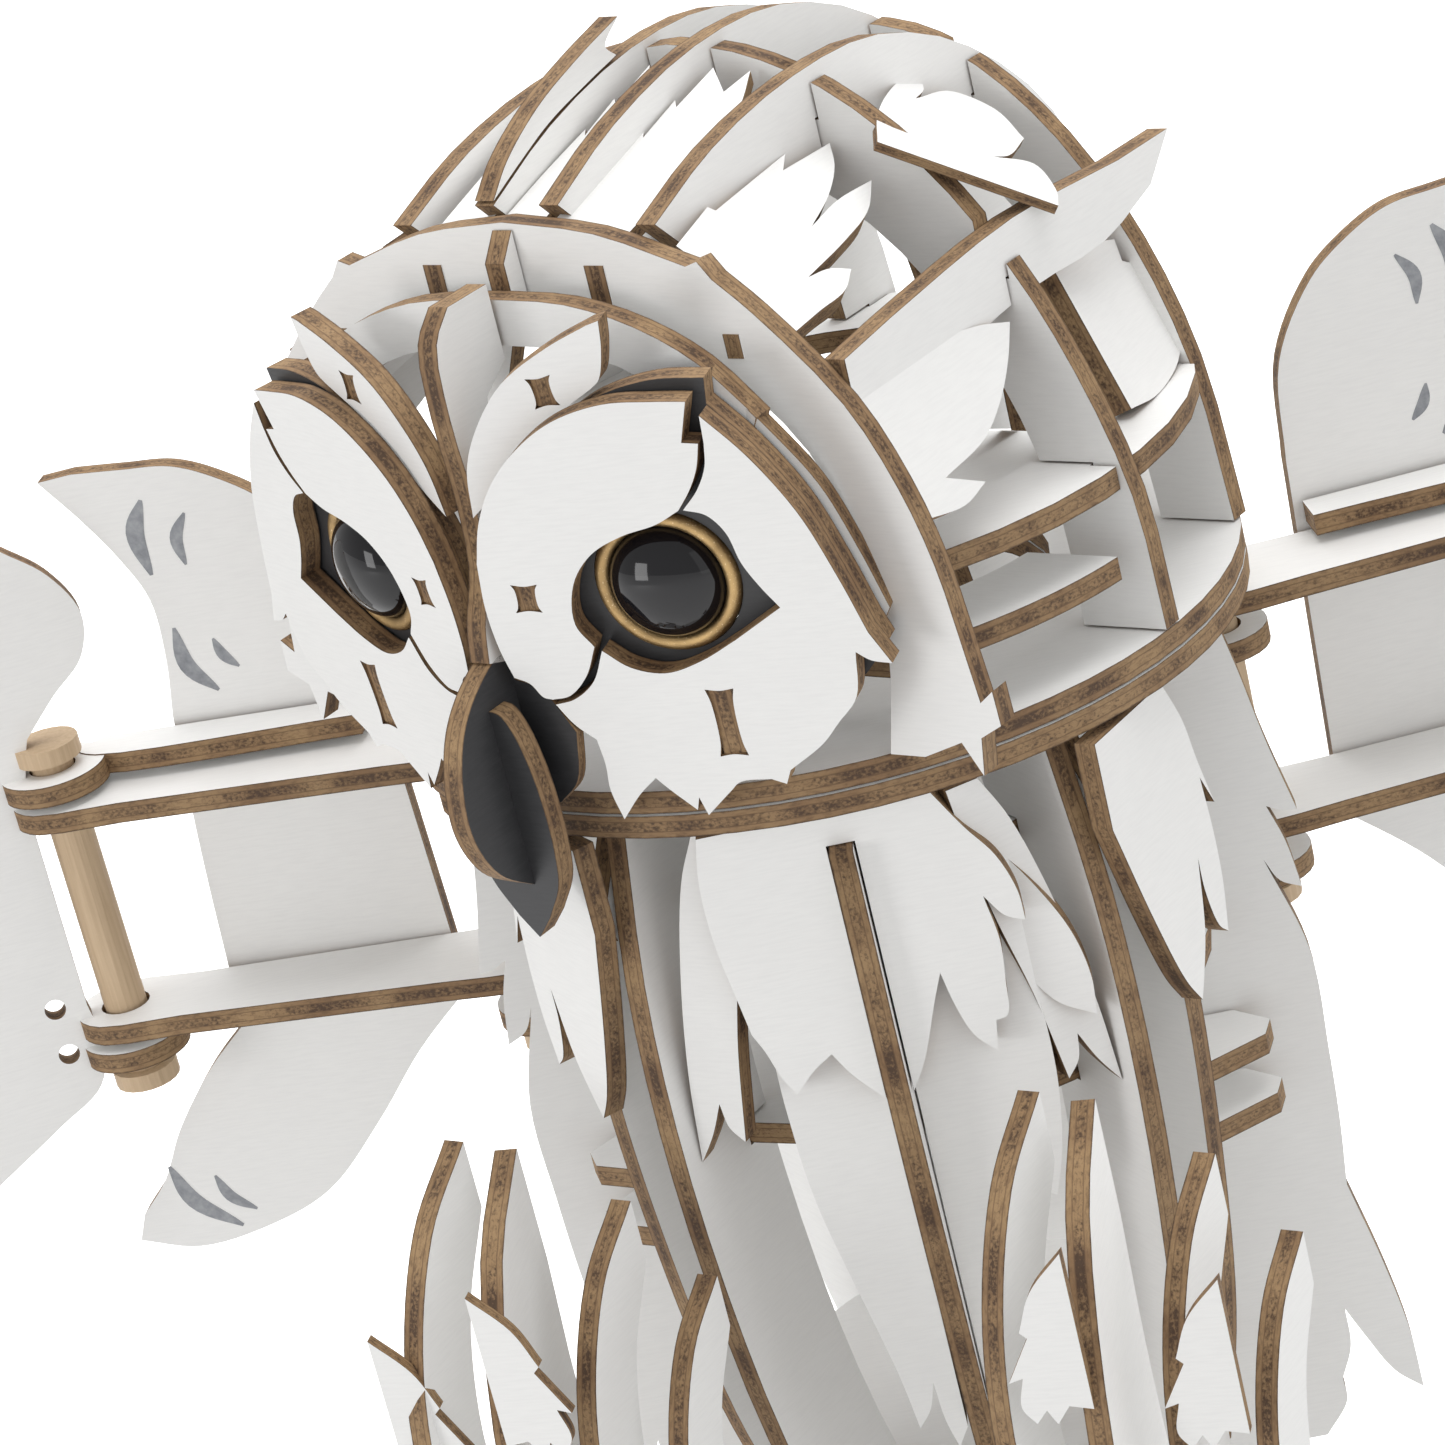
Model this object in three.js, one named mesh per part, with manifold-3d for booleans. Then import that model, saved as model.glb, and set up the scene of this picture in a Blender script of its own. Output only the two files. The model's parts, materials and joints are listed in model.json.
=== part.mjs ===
// White owl puppet cut from 3 mm plywood: a head that turns on a double neck ring, a ribbed torso with a
// feathered bib, two jointed wings that swing on upright pins, legs, a tail and a round base.
// The owl faces -Y, +X is on the viewer's right and Z is up. The origin is on the underside of the base, on the
// upright axis that the head turns about.
import * as THREE from "three";
import { mergeVertices } from "three/addons/utils/BufferGeometryUtils.js";
import Module from "manifold-3d";

const wasm = await Module();
wasm.setup();

// Driving dimensions, in millimetres and degrees.
const PLY = 3; // thickness of every plywood plate
const GAP = 0.3; // clearance between pieces that touch
const BASE_RADIUS = 82;
const BASE_THICKNESS = 2 * PLY;
const RING_Z = 182; // height of the joint line between torso and head
const RING_RADIUS = 55.8;
const RING_HOLE = 40;
const HEAD_TURN = -35.5; // the head looks over the owl's right shoulder
const LEG_TURN = -13; // the legs stand turned to the same side
const TORSO_TOP = -2 * PLY - 2 * GAP; // below the joint line
const TORSO_BOTTOM = -138;
const RIB_DEPTH = 18;
const DECK_BITE = 5; // how far a deck edge sits in the notch of a rib
const SHOULDER = { x: 50, y: 14 };
const ARM_LENGTH = 60;
const ARM_UPPER_Z = -15.5;
const ARM_LOWER_Z = -48.5;
const WING_SWEEP = 8; // the wings lie a little behind the shoulders
const OUTER_FOLD = -22; // the outer wings fold forward at the wrist
const PIN_RADIUS = 3;
const HOLE_RADIUS = 3.5;
const DISC_YAW = 17.3; // each face disc turns outward by this much
const DISC_TILT = -3.4;
const EYE = { u: 1.9, v: -0.4, ring: 8.4, dome: 6.3 };

const radians = THREE.MathUtils.degToRad;
const finish = {
  white: { color: 0xe9e8e4, roughness: 0.5, metalness: 0 },
  black: { color: 0x2b2b2d, roughness: 0.5, metalness: 0 },
  brass: { color: 0xa88a4a, roughness: 0.3, metalness: 1 },
  gloss: { color: 0x070709, roughness: 0.06, metalness: 0 },
};

// ---- outlines ------------------------------------------------------------

// An outline is a chain of runs. A run of two points is a straight cut; a longer run is one smooth curve
// through its points. Each run starts where the last one ended, so corners stay sharp between runs.
function outline(...runs) {
  const points = [];
  for (const run of runs) {
    const knots = run.map(([x, y]) => new THREE.Vector3(x, y, 0));
    if (points.length) knots.unshift(points.at(-1).clone());
    const smooth = knots.length > 2;
    const curve = new THREE.CatmullRomCurve3(knots, false, "centripetal");
    const cut = smooth ? curve.getPoints((knots.length - 1) * 3) : knots;
    points.push(...cut.slice(points.length ? 1 : 0));
  }
  return points.map((p) => new THREE.Vector2(p.x, p.y));
}

// The same outline mirrored from side to side for side -1.
const sided = (side, points) => points.map((p) => new THREE.Vector2(side * p.x, p.y));

function circle(radius, x = 0, y = 0, segments = 20) {
  const at = (i) => (2 * Math.PI * i) / segments;
  return Array.from(
    { length: segments },
    (_, i) => new THREE.Vector2(x + radius * Math.cos(at(i)), y + radius * Math.sin(at(i))),
  );
}

// A band that follows a curve from its first point to its last and is `depth` wide towards the middle.
function band(knots, depth, middle = [0, 0]) {
  const curve = new THREE.CatmullRomCurve3(knots.map(([x, y]) => new THREE.Vector3(x, y, 0)));
  const outer = curve.getPoints((knots.length - 1) * 3).map((p) => new THREE.Vector2(p.x, p.y));
  const centre = new THREE.Vector2(...middle);
  const inner = outer.map((p) => {
    const towards = centre.clone().sub(p);
    return p.clone().add(towards.setLength(Math.min(depth, towards.length() * 0.9)));
  });
  return [...outer, ...inner.reverse()];
}

// ---- solids --------------------------------------------------------------

function solidFrom(geometry) {
  const bare = geometry.clone();
  bare.deleteAttribute("normal");
  bare.deleteAttribute("uv");
  const merged = mergeVertices(bare, 1e-4);
  return new wasm.Manifold(
    new wasm.Mesh({
      numProp: 3,
      vertProperties: new Float32Array(merged.attributes.position.array),
      triVerts: new Uint32Array(merged.index.array),
    }),
  );
}

const anticlockwise = (points) => (THREE.ShapeUtils.isClockWise(points) ? [...points].reverse() : points);

// A slab cut to an outline, its thickness centred on the outline's own plane.
function slab(points, thickness = PLY, holes = []) {
  const shape = new THREE.Shape(anticlockwise(points));
  shape.holes = holes.map((hole) => new THREE.Path(anticlockwise(hole)));
  const geometry = new THREE.ExtrudeGeometry(shape, { depth: thickness, bevelEnabled: false });
  return geometry.translate(0, 0, -thickness / 2);
}

function geometryFrom(solid) {
  const mesh = solid.getMesh();
  return new THREE.BufferGeometry()
    .setAttribute("position", new THREE.BufferAttribute(mesh.vertProperties, 3))
    .setIndex(new THREE.BufferAttribute(mesh.triVerts, 1));
}

// How a plate stands: each placing turns an outline's plane into the owl's directions.
const basis = (x, y, z, at) =>
  new THREE.Matrix4()
    .makeBasis(new THREE.Vector3(...x), new THREE.Vector3(...y), new THREE.Vector3(...z))
    .setPosition(...at);
const facing = (y, x = 0, z = 0) => basis([1, 0, 0], [0, 0, 1], [0, -1, 0], [x, y, z]);
const lengthwise = (x) => basis([0, 1, 0], [0, 0, 1], [1, 0, 0], [x, 0, 0]);
const level = (z, x = 0, y = 0) => basis([1, 0, 0], [0, 1, 0], [0, 0, 1], [x, y, z]);

// A plate that runs outward from the upright axis; its outline's x is the distance from the axis.
function radial(angle) {
  const a = radians(angle);
  return basis([Math.sin(a), -Math.cos(a), 0], [0, 0, 1], [-Math.cos(a), -Math.sin(a), 0], [0, 0, 0]);
}

// The plane of a face disc, with its origin at the middle of the eye opening.
function discPlane(side, behind = 0) {
  const yaw = radians(DISC_YAW);
  const tilt = radians(DISC_TILT);
  const across = new THREE.Vector3(Math.cos(yaw), side * Math.sin(yaw), 0);
  const front = new THREE.Vector3(
    side * Math.sin(yaw) * Math.cos(tilt),
    -Math.cos(yaw) * Math.cos(tilt),
    Math.sin(tilt),
  );
  const up = front.clone().cross(across);
  const at = new THREE.Vector3(side * 22.3, -56.7, 28).addScaledVector(front, -behind - PLY / 2);
  return new THREE.Matrix4().makeBasis(across, up, front).setPosition(at);
}

// One group of pieces that share a frame. Pieces are cut and joined in that frame before they become meshes.
class Assembly {
  constructor() {
    this.group = new THREE.Group();
    this.pieces = new Map();
  }
  add(name, geometry, placing, look = "white") {
    const solid = solidFrom(geometry.applyMatrix4(placing));
    this.pieces.set(name, { solid, look });
  }
  plate(name, points, placing, { look = "white", holes = [], thickness = PLY } = {}) {
    this.add(name, slab(points, thickness, holes), placing, look);
  }
  cut(name, geometry) {
    const piece = this.pieces.get(name);
    piece.solid = piece.solid.subtract(solidFrom(geometry));
  }
  finish() {
    for (const [name, { solid, look }] of this.pieces) {
      const mesh = new THREE.Mesh(geometryFrom(solid), new THREE.MeshStandardMaterial(finish[look]));
      mesh.name = name;
      this.group.add(mesh);
    }
    return this.group;
  }
}

function box(x, y, z) {
  const size = [x, y, z].map(([low, high]) => high - low);
  const middle = [x, y, z].map(([low, high]) => (high + low) / 2);
  return new THREE.BoxGeometry(...size).translate(...middle);
}

const around = (value) => [value - PLY / 2 - GAP, value + PLY / 2 + GAP];
const SIDES = [
  ["right", 1],
  ["left", -1],
];

// A turned piece on an upright axis, from closed [radius, height] profile points.
function turned(profile, segments = 20) {
  const lathe = new THREE.LatheGeometry(
    profile.map(([r, h]) => new THREE.Vector2(r, h)),
    segments,
  );
  return lathe.rotateX(Math.PI / 2);
}

// A dowel with a wider cap at each end.
function cappedPin(radius, cap, low, high, capHeight) {
  return turned([
    [0, low],
    [cap, low],
    [cap, low + capHeight],
    [radius, low + capHeight],
    [radius, high - capHeight],
    [cap, high - capHeight],
    [cap, high],
    [0, high],
  ]);
}

// ---- head ----------------------------------------------------------------

const CROSS_Y = -2; // the cross plate that the crown ribs drop into
const HEAD_DECK = { z: 20.5, radius: 54, slot: 50 };
const CROWN_RIBS = [
  { name: "crown_rib_inner", x: 5, top: 71 },
  { name: "crown_rib_middle", x: 19, top: 66 },
];

// Crown profile above the joint line at one distance from the middle, from the arch to the back of the ring.
function crownProfile(x) {
  const drop = 0.0135 * x * x;
  const back = Math.sqrt(57 * 57 - x * x);
  return [
    [-37.2, 68.6 - drop * 0.55],
    [-24, 73.8 - drop * 0.7],
    [-6, 77.4 - drop * 0.9],
    [12, 76.6 - drop * 0.95],
    [30, 69 - drop],
    [45, 54 - drop * 0.8],
    [back - 2.5, 34],
    [back - 0.5, 16],
    [back - 1.5, GAP],
  ];
}

// Height of the cross plate's edge at a distance from the middle.
const crossTop = (x) => 77 - 0.0135 * x * x * 0.92;

function addCrown(head) {
  const half = [
    [0, 67.5],
    [13.6, 66],
    [26.2, 62],
  ];
  const arch = (side) =>
    outline(
      side > 0 ? half : half.map(([x, y]) => [x, y]),
      [[28, 62.6]],
      [[29.6, 60.4]],
      [[34.5, 56.2], [44.5, 45.2], [49.5, 35], [52.2, 25.5], [53.6, 15]],
      [[54.4, 8]],
      [[56.4, 9.6]],
      [[56.6, 5.2]],
      [[53.4, 3.4]],
      [[52.6, -1.6]],
      [[50.4, 2.6]],
      [[44.6, GAP]],
      [[39.6, GAP]],
      [[42.8, 14], [42.6, 26], [38, 39], [28, 49], [14, 54.6], [0, 56]],
    );
  const right = arch(1);
  const left = sided(-1, right).reverse();
  head.plate("crown_arch", [...right, ...left.slice(1, -1)], facing(-39));

  for (const [sideName, side] of SIDES) {
    for (const { name, x } of CROWN_RIBS)
      head.plate(`${name}_${sideName}`, band(crownProfile(x), 12, [8, 20]), lengthwise(side * x));
    const outer = outline(
      [[-37.2, 49.4], [-22, 51], [0, 52.4], [24, 50.8]],
      [[36, 50.6]],
      [[30, 45.4]],
      [[18, 42.6], [0, 43], [-20, 41], [-37.2, 38]],
    );
    head.plate(`crown_rib_outer_${sideName}`, outer, lengthwise(side * 42));
  }

  const crossHalf = outline(
    [[0, 76.6], [10, 75.4], [22, 70.6], [34, 61], [44, 47.6], [50.4, 34], [55, 18], [56, GAP]],
    [[44, GAP]],
    [[44, 14], [41, 28], [35, 41], [25, 53], [12, 61], [0, 63.6]],
  );
  head.plate("head_cross_plate", [...crossHalf, ...sided(-1, crossHalf).reverse().slice(1, -1)], facing(CROSS_Y));
  const rearHalf = outline(
    [[0, 68.6], [12, 67], [22, 62], [32, 52], [40, 38], [45, 22], [47, GAP]],
    [[36, GAP]],
    [[34, 20], [28, 36], [18, 48], [0, 54.6]],
  );
  head.plate("head_rear_plate", [...rearHalf, ...sided(-1, rearHalf).reverse().slice(1, -1)], facing(30));
}

function addHeadDeck(head) {
  const front = Math.asin(36.6 / HEAD_DECK.radius);
  const steps = 30;
  const arc = (radius, from, to) =>
    Array.from({ length: steps + 1 }, (_, i) => {
      const a = from + ((to - from) * i) / steps;
      return new THREE.Vector2(radius * Math.cos(a), radius * Math.sin(a));
    });
  const points = [
    ...arc(HEAD_DECK.radius, -front, Math.PI + front),
    ...arc(HEAD_DECK.radius - 13, Math.PI + front, -front),
  ];
  head.plate("head_deck", points, level(HEAD_DECK.z));
}

// Cross-laps: where two plates cross, each is slotted to half the depth of the joint.
function lapCrown(head) {
  const deck = around(HEAD_DECK.z);
  const split = HEAD_DECK.slot;
  for (const [sideName, side] of SIDES) {
    for (const { name, x } of [...CROWN_RIBS, { name: "crown_rib_outer", x: 42 }]) {
      const rib = `${name}_${sideName}`;
      for (const [plate, y, depth] of [
        ["head_cross_plate", CROSS_Y, 6],
        ["head_rear_plate", 30, 6],
      ]) {
        if (x === 42 && y === 30) continue;
        const surface = y === CROSS_Y ? (x === 42 ? 52 : crossTop(x)) : 69 - 0.0135 * x * x;
        const seat = surface - depth;
        head.cut(plate, box(around(side * x), [y - 4, y + 4], [seat, 100]));
        head.cut(rib, box([side * x - 4, side * x + 4], around(y), [-1, seat + GAP]));
      }
      if (x === 42) continue;
      const reach = Math.sqrt(split * split - x * x);
      head.cut("head_deck", box(around(side * x), [reach, 70], [0, 40]));
      head.cut(rib, box([side * x - 4, side * x + 4], [20, reach + GAP], deck));
    }
    const crossAt = [split, 70].map((v) => side * v).sort((a, b) => a - b);
    head.cut("head_deck", box(crossAt, around(CROSS_Y), [0, 40]));
    const crossIn = [20, split + GAP].map((v) => side * v).sort((a, b) => a - b);
    head.cut("head_cross_plate", box(crossIn, [CROSS_Y - 4, CROSS_Y + 4], deck));
    const rearAt = [42, 70].map((v) => side * v).sort((a, b) => a - b);
    head.cut("head_deck", box(rearAt, around(30), [0, 40]));
    const rearIn = [20, 42 + GAP].map((v) => side * v).sort((a, b) => a - b);
    head.cut("head_rear_plate", box(rearIn, [26, 34], deck));
  }
}

function addFace(head) {
  const brow = outline(
    [[0, 60.2], [12, 59.6], [22, 56.8], [30, 52.4], [36.5, 46]],
    [[33.5, 40.5]],
    [[27, 47], [18, 52], [9, 54], [0, 54.4]],
  );
  head.plate("forehead_plate", [...brow, ...sided(-1, brow).reverse().slice(1, -1)], facing(-45.2));
  const ridge = outline(
    [[-47.3, 62.4]],
    [[-54.6, 62.4]],
    [[-58, 59], [-59, 50], [-58.6, 40], [-59.4, 31], [-62.2, 25], [-63.2, 20.5]],
    [[-58, 18.8]],
    [[-55.4, 26], [-53.4, 34], [-52.6, 44], [-52, 50]],
    [[-47.3, 53]],
  );
  head.plate("nose_ridge", ridge, lengthwise(0));
  for (const [sideName, side] of SIDES) {
    addFaceDisc(head, sideName, side);
    addEye(head, sideName, side);
  }
  const hook = outline(
    [[-57.6, 18.2]],
    [[-62.6, 19.8], [-67.2, 16.4], [-69.4, 10.4], [-68.8, 3.4], [-66.2, -4.4], [-62.6, -9.8]],
    [[-62.4, -4], [-61.4, 2]],
    [[-58.4, 6]],
  );
  head.plate("beak_hook", hook, lengthwise(0), { look: "black" });
  const cheek = outline(
    [[-64.2, 15.6]],
    [[-61.4, 14], [-59.2, 8.6], [-58.4, 1], [-58.6, -7], [-60.6, -14.8]],
    [[-64.6, -12.6], [-66.6, -4], [-66.8, 6], [-64.2, 15.6]],
  ).slice(0, -1);
  for (const [sideName, side] of SIDES)
    head.plate(`beak_cheek_${sideName}`, cheek, lengthwise(side * (PLY + GAP)), { look: "black" });
}

function eyeOpening() {
  return outline(
    [[15.9, -3.4]],
    [[12.4, -5.8], [8, -9.2], [2.4, -10.4], [-3.4, -8.8], [-7.4, -2.6]],
    [[-6.6, 2.6], [-3.2, 7], [3, 9.2], [8.6, 8.8], [12, 5.4], [15.9, -3.4]],
  ).slice(0, -1);
}

function addFaceDisc(head, sideName, side) {
  const disc = outline(
    [[-18.6, 4], [-16.8, 11.6], [-10.6, 18.3], [-2.1, 23.4], [7, 24.9], [14.2, 24.6]],
    [[12.4, 22.6]],
    [[16.2, 21.4]],
    [[20.4, 17.6], [24.5, 9.6], [27.3, 0.4], [30.2, -8.6]],
    [[27.2, -10.2]],
    [[26.6, -12.4]],
    [[23.8, -10.6]],
    [[22, -16.4], [17.6, -21.4]],
    [[11.6, -24.6]],
    [[10.6, -26.8]],
    [[8.6, -25.6]],
    [[4.8, -26.2]],
    [[0.4, -29.4]],
    [[-1.2, -27.6]],
    [[-3.8, -24.6]],
    [[-7.2, -27]],
    [[-10.4, -29.4]],
    [[-10.8, -24], [-10.2, -19.6]],
    [[-14.6, -14.6], [-17.6, -9], [-18.8, -3], [-18.6, 4]],
  ).slice(0, -1);
  const opening = eyeOpening();
  head.plate(`face_disc_${sideName}`, sided(side, disc), discPlane(side), { holes: [sided(side, opening)] });
  const backing = outline(
    [[-15.6, 4], [-13, 15], [-4, 24.6], [10, 27.6], [19.6, 25.2]],
    [[18, 21.6]],
    [[23.6, 15.6], [28.6, 6], [31.4, -5.6]],
    [[27.6, -7.6]],
    [[22, -15], [14, -20]],
    [[4, -22.6], [-6, -20.6], [-12, -14.6], [-15.6, 4]],
  ).slice(0, -1);
  const socket = circle(EYE.ring + 0.4, side * EYE.u, EYE.v, 24);
  const behind = discPlane(side, PLY + GAP);
  head.plate(`face_backing_${sideName}`, sided(side, backing), behind, { look: "black", holes: [socket] });
  const browLeaf = outline(
    [[-15.6, 14.6], [-15.6, 21], [-12.6, 27], [-6.6, 31.4], [4.4, 35.2]],
    [[4.6, 30], [1.4, 26.6]],
    [[-6, 24.2], [-11, 20], [-15.6, 14.6]],
  ).slice(0, -1);
  head.plate(`brow_plate_${sideName}`, sided(side, browLeaf), discPlane(side, -PLY - GAP));
}

function addEye(head, sideName, side) {
  const place = discPlane(side, 0).multiply(new THREE.Matrix4().makeTranslation(side * EYE.u, EYE.v, 0));
  const ring = turned(
    [
      [EYE.dome + 0.3, -5.4],
      [EYE.ring, -5.4],
      [EYE.ring, -1.8],
      [EYE.ring - 0.7, -0.8],
      [EYE.dome + 0.9, -0.8],
      [EYE.dome + 0.3, -1.4],
      [EYE.dome + 0.3, -5.4],
    ],
    32,
  );
  head.add(`eye_ring_${sideName}`, ring, place, "brass");
  const dome = turned(
    [
      [0, -5.2],
      [EYE.dome, -5.2],
      [EYE.dome, -1.6],
      [EYE.dome * 0.86, 0],
      [EYE.dome * 0.5, 1.3],
      [0, 1.9],
    ],
    32,
  );
  head.add(`eye_dome_${sideName}`, dome, place, "gloss");
}

function makeHead() {
  const head = new Assembly();
  const hole = circle(RING_HOLE - 9, 0, 0, 36);
  head.plate("neck_ring_upper", circle(RING_RADIUS, 0, 0, 60), level(-PLY / 2), { holes: [hole] });
  const bearing = circle(RING_HOLE - 2 * GAP, 0, 0, 36);
  head.plate("neck_bearing_ring", bearing, level(-1.5 * PLY - GAP), { holes: [hole] });
  addCrown(head);
  addHeadDeck(head);
  lapCrown(head);
  addFace(head);
  head.group = head.finish();
  head.group.rotation.z = radians(HEAD_TURN);
  return head.group;
}

// ---- torso ---------------------------------------------------------------

// Distance of the torso's outer edge from the upright axis, going down from the neck ring.
const TORSO_EDGE = [
  [50, TORSO_TOP],
  [54, -28],
  [55, -48],
  [53.6, -72],
  [49.6, -98],
  [43, -120],
  [33, TORSO_BOTTOM],
];
const DECKS = [
  { name: "deck_upper", z: -22.5, radius: 40 },
  { name: "deck_middle", z: -56, radius: 41.5 },
  { name: "deck_lower", z: -118, radius: 31 },
];

function ribOutline() {
  const outer = outline(TORSO_EDGE);
  const inner = outer.map((p) => new THREE.Vector2(p.x - RIB_DEPTH, p.y)).reverse();
  return [...outer, ...inner];
}

function keelOutline() {
  const front = outline(
    [[-44.6, TORSO_TOP]],
    [[-45, -12]],
    [[-54, -12]],
    [[-54.4, -48], [-52.4, -72], [-48, -98], [-40, -120], [-24, TORSO_BOTTOM]],
  );
  const back = outline([[50, TORSO_TOP], [54, -28], [55, -48], [52, -84], [42, -116], [24, TORSO_BOTTOM]]);
  const opening = outline([[-36, -17], [-37, -48], [-34, -84], [-26, -112], [-12, -128]], [[12, -128]]).concat(
    outline([[12, -128], [26, -108], [36, -80], [38, -48], [36, -17]]).slice(1),
  );
  return { edge: [...front, ...back.reverse()], opening };
}

function addBib(torso) {
  const upper = outline(
    [[0, -7.2]],
    [[15.4, -7.2]],
    [[18.8, -16], [19.2, -28]],
    [[14.6, -24]],
    [[14.4, -34], [11.6, -45]],
    [[8.2, -38], [6.8, -33]],
    [[5.2, -42], [PLY / 2 + GAP, -47]],
    [[PLY / 2 + GAP, -12 + GAP]],
    [[0, -12 + GAP]],
  );
  torso.plate("bib_upper", [...upper, ...sided(-1, upper).reverse().slice(1, -1)], facing(-50.2));
  const lower = outline(
    [[0, -7.2]],
    [[17.6, -7.2]],
    [[20.8, -22], [21.4, -36]],
    [[17.8, -33], [18.4, -50], [15.6, -68]],
    [[11.8, -60], [12, -74], [8, -92]],
    [[5.4, -86], [PLY / 2 + GAP, -95]],
    [[PLY / 2 + GAP, -12 + GAP]],
    [[0, -12 + GAP]],
  );
  torso.plate("bib_lower", [...lower, ...sided(-1, lower).reverse().slice(1, -1)], facing(-50.2 + PLY + GAP));
}

function addDecks(torso) {
  for (const { name, z, radius } of DECKS) {
    const disc = slab(circle(radius, 0, 0, 36));
    torso.add(name, disc, level(z));
    if (name === "deck_lower") continue;
    const piece = torso.pieces.get(name);
    for (const [, side] of SIDES) {
      const ear = slab(circle(7, side * SHOULDER.x, SHOULDER.y, 24)).translate(0, 0, z);
      const neck = box([30, 50].map((v) => side * v).sort((a, b) => a - b), [8, 20], [z - PLY / 2, z + PLY / 2]);
      piece.solid = piece.solid.add(solidFrom(ear)).add(solidFrom(neck));
      const bore = slab(circle(HOLE_RADIUS, side * SHOULDER.x, SHOULDER.y, 24), 8).translate(0, 0, z);
      piece.solid = piece.solid.subtract(solidFrom(bore));
    }
  }
}

function makeTorso() {
  const torso = new Assembly();
  const ring = circle(RING_RADIUS, 0, 0, 60);
  torso.plate("neck_ring_lower", ring, level(-1.5 * PLY - GAP), { holes: [circle(RING_HOLE, 0, 0, 36)] });
  const { edge, opening } = keelOutline();
  torso.plate("keel_plate", edge, lengthwise(0), { holes: [opening] });
  for (const [sideName, side] of SIDES) {
    torso.plate(`flank_rib_${sideName}`, ribOutline(), radial(side * 33));
    torso.plate(`side_rib_${sideName}`, ribOutline(), radial(side * 90));
    torso.plate(`back_rib_${sideName}`, ribOutline(), radial(side * 147));
  }
  for (const { z, radius } of DECKS) {
    const notch = slab(circle(radius + GAP, 0, 0, 36), PLY + 2 * GAP).translate(0, 0, z);
    for (const [name, piece] of torso.pieces)
      if (/rib|keel/.test(name)) piece.solid = piece.solid.subtract(solidFrom(notch));
  }
  addDecks(torso);
  addBib(torso);
  for (const [sideName, side] of SIDES) {
    const pin = cappedPin(PIN_RADIUS, 4.6, -61.5, -9.5, 2.4);
    torso.add(`shoulder_pin_${sideName}`, pin, level(0, side * SHOULDER.x, SHOULDER.y));
  }
  const tail = outline(
    [[-16, 6]],
    [[16, 6]],
    [[22, -20], [23, -52], [19, -66]],
    [[15.4, -58]],
    [[12.4, -76]],
    [[7, -66]],
    [[0, -84]],
  );
  const tailFeathers = [...tail, ...sided(-1, tail).slice(2, -1).reverse()];
  const lean = new THREE.Matrix4().makeRotationX(radians(22)).setPosition(0, 53, -106);
  torso.plate("tail_plate", tailFeathers, lean.multiply(facing(0)));
  return torso.finish();
}

// ---- wings ---------------------------------------------------------------

function armOutline() {
  return outline(
    [[-6.4, 3.6], [-7.4, 0], [-6.4, -3.6], [-3, -7], [2, -8], [12, -7.6]],
    [[ARM_LENGTH - 10, -6.6]],
    [[ARM_LENGTH + 2, -6.8], [ARM_LENGTH + 6, -3.6], [ARM_LENGTH + 7, 0]],
    [[ARM_LENGTH + 6, 3.6], [ARM_LENGTH + 2, 6.8], [ARM_LENGTH - 10, 6.6]],
    [[12, 7.6]],
    [[2, 8], [-3, 7], [-6.4, 3.6]],
  ).slice(0, -1);
}

function coverOutline() {
  return outline(
    [[15, -4]],
    [[20, 14], [34, 21], [46, 22], [60, 27], [74, 25]],
    [[70, 16], [62, 8], [60, -6]],
    [[58, -30], [50, -52]],
    [[60, -66], [64, -84]],
    [[50, -88], [36, -78], [26, -62], [15, -54]],
  );
}

function outerOutline() {
  return outline(
    [[5, -19]],
    [[9, -18.6]],
    [[9, -6]],
    [[14, 10], [26, 20], [36, 32]],
    [[46, 38], [56, 30], [60, 18]],
    [[66, 24], [76, 20], [80, 6]],
    [[84, 2], [90, -10], [88, -26]],
    [[86, -40], [74, -56], [60, -64]],
    [[56, -72], [38, -82], [20, -84]],
    [[12, -74], [9, -62], [9, -53]],
    [[9, -45.4]],
    [[5, -45]],
  );
}

function makeWing(sideName, side) {
  const inner = new Assembly();
  const bores = [circle(HOLE_RADIUS, 0, 0, 20), circle(HOLE_RADIUS, side * ARM_LENGTH, 0, 20)];
  for (const [name, z] of [
    ["wing_arm_upper", ARM_UPPER_Z],
    ["wing_arm_lower", ARM_LOWER_Z],
  ])
    inner.plate(`${name}_${sideName}`, sided(side, armOutline()), level(z), { holes: bores });
  inner.plate(`wing_cover_${sideName}`, sided(side, coverOutline()), facing(8 + GAP + PLY / 2));

  const outer = new Assembly();
  const holes = [circle(2.6, side * 24, -58, 16), circle(2.6, side * 24, -68, 16)];
  outer.plate(`outer_wing_${sideName}`, sided(side, outerOutline()), facing(0), { holes });
  outer.add(`wrist_pin_${sideName}`, cappedPin(PIN_RADIUS, 4.6, -59, -6, 2.4), level(0));

  const wing = new THREE.Group();
  wing.position.set(side * SHOULDER.x, SHOULDER.y, 0);
  wing.rotation.z = side * radians(WING_SWEEP);
  wing.add(inner.finish());
  const hand = outer.finish();
  hand.position.x = side * ARM_LENGTH;
  hand.rotation.z = side * radians(OUTER_FOLD);
  wing.add(hand);
  return wing;
}

// ---- legs and base -------------------------------------------------------

const LEG_X = 37;
const THIGH_SPREAD = 7.5; // from the leg plate to the thigh rib on either side
const FOOT_Z = BASE_THICKNESS + GAP;

// A crescent that covers the thigh, with heights below the neck joint line.
function thighOutline(scale, lift) {
  const at = (y, z) => [-60 + (y + 60) * scale, RING_Z + lift + z * scale - 60 * (1 - scale)];
  return outline(
    [at(-61, -46)],
    [at(-72, -54), at(-81, -70), at(-84, -90), at(-80, -110), at(-70, -126)],
    [at(-66, -118), at(-72, -100), at(-73, -84), at(-69, -68), at(-61, -56)],
  );
}

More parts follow.
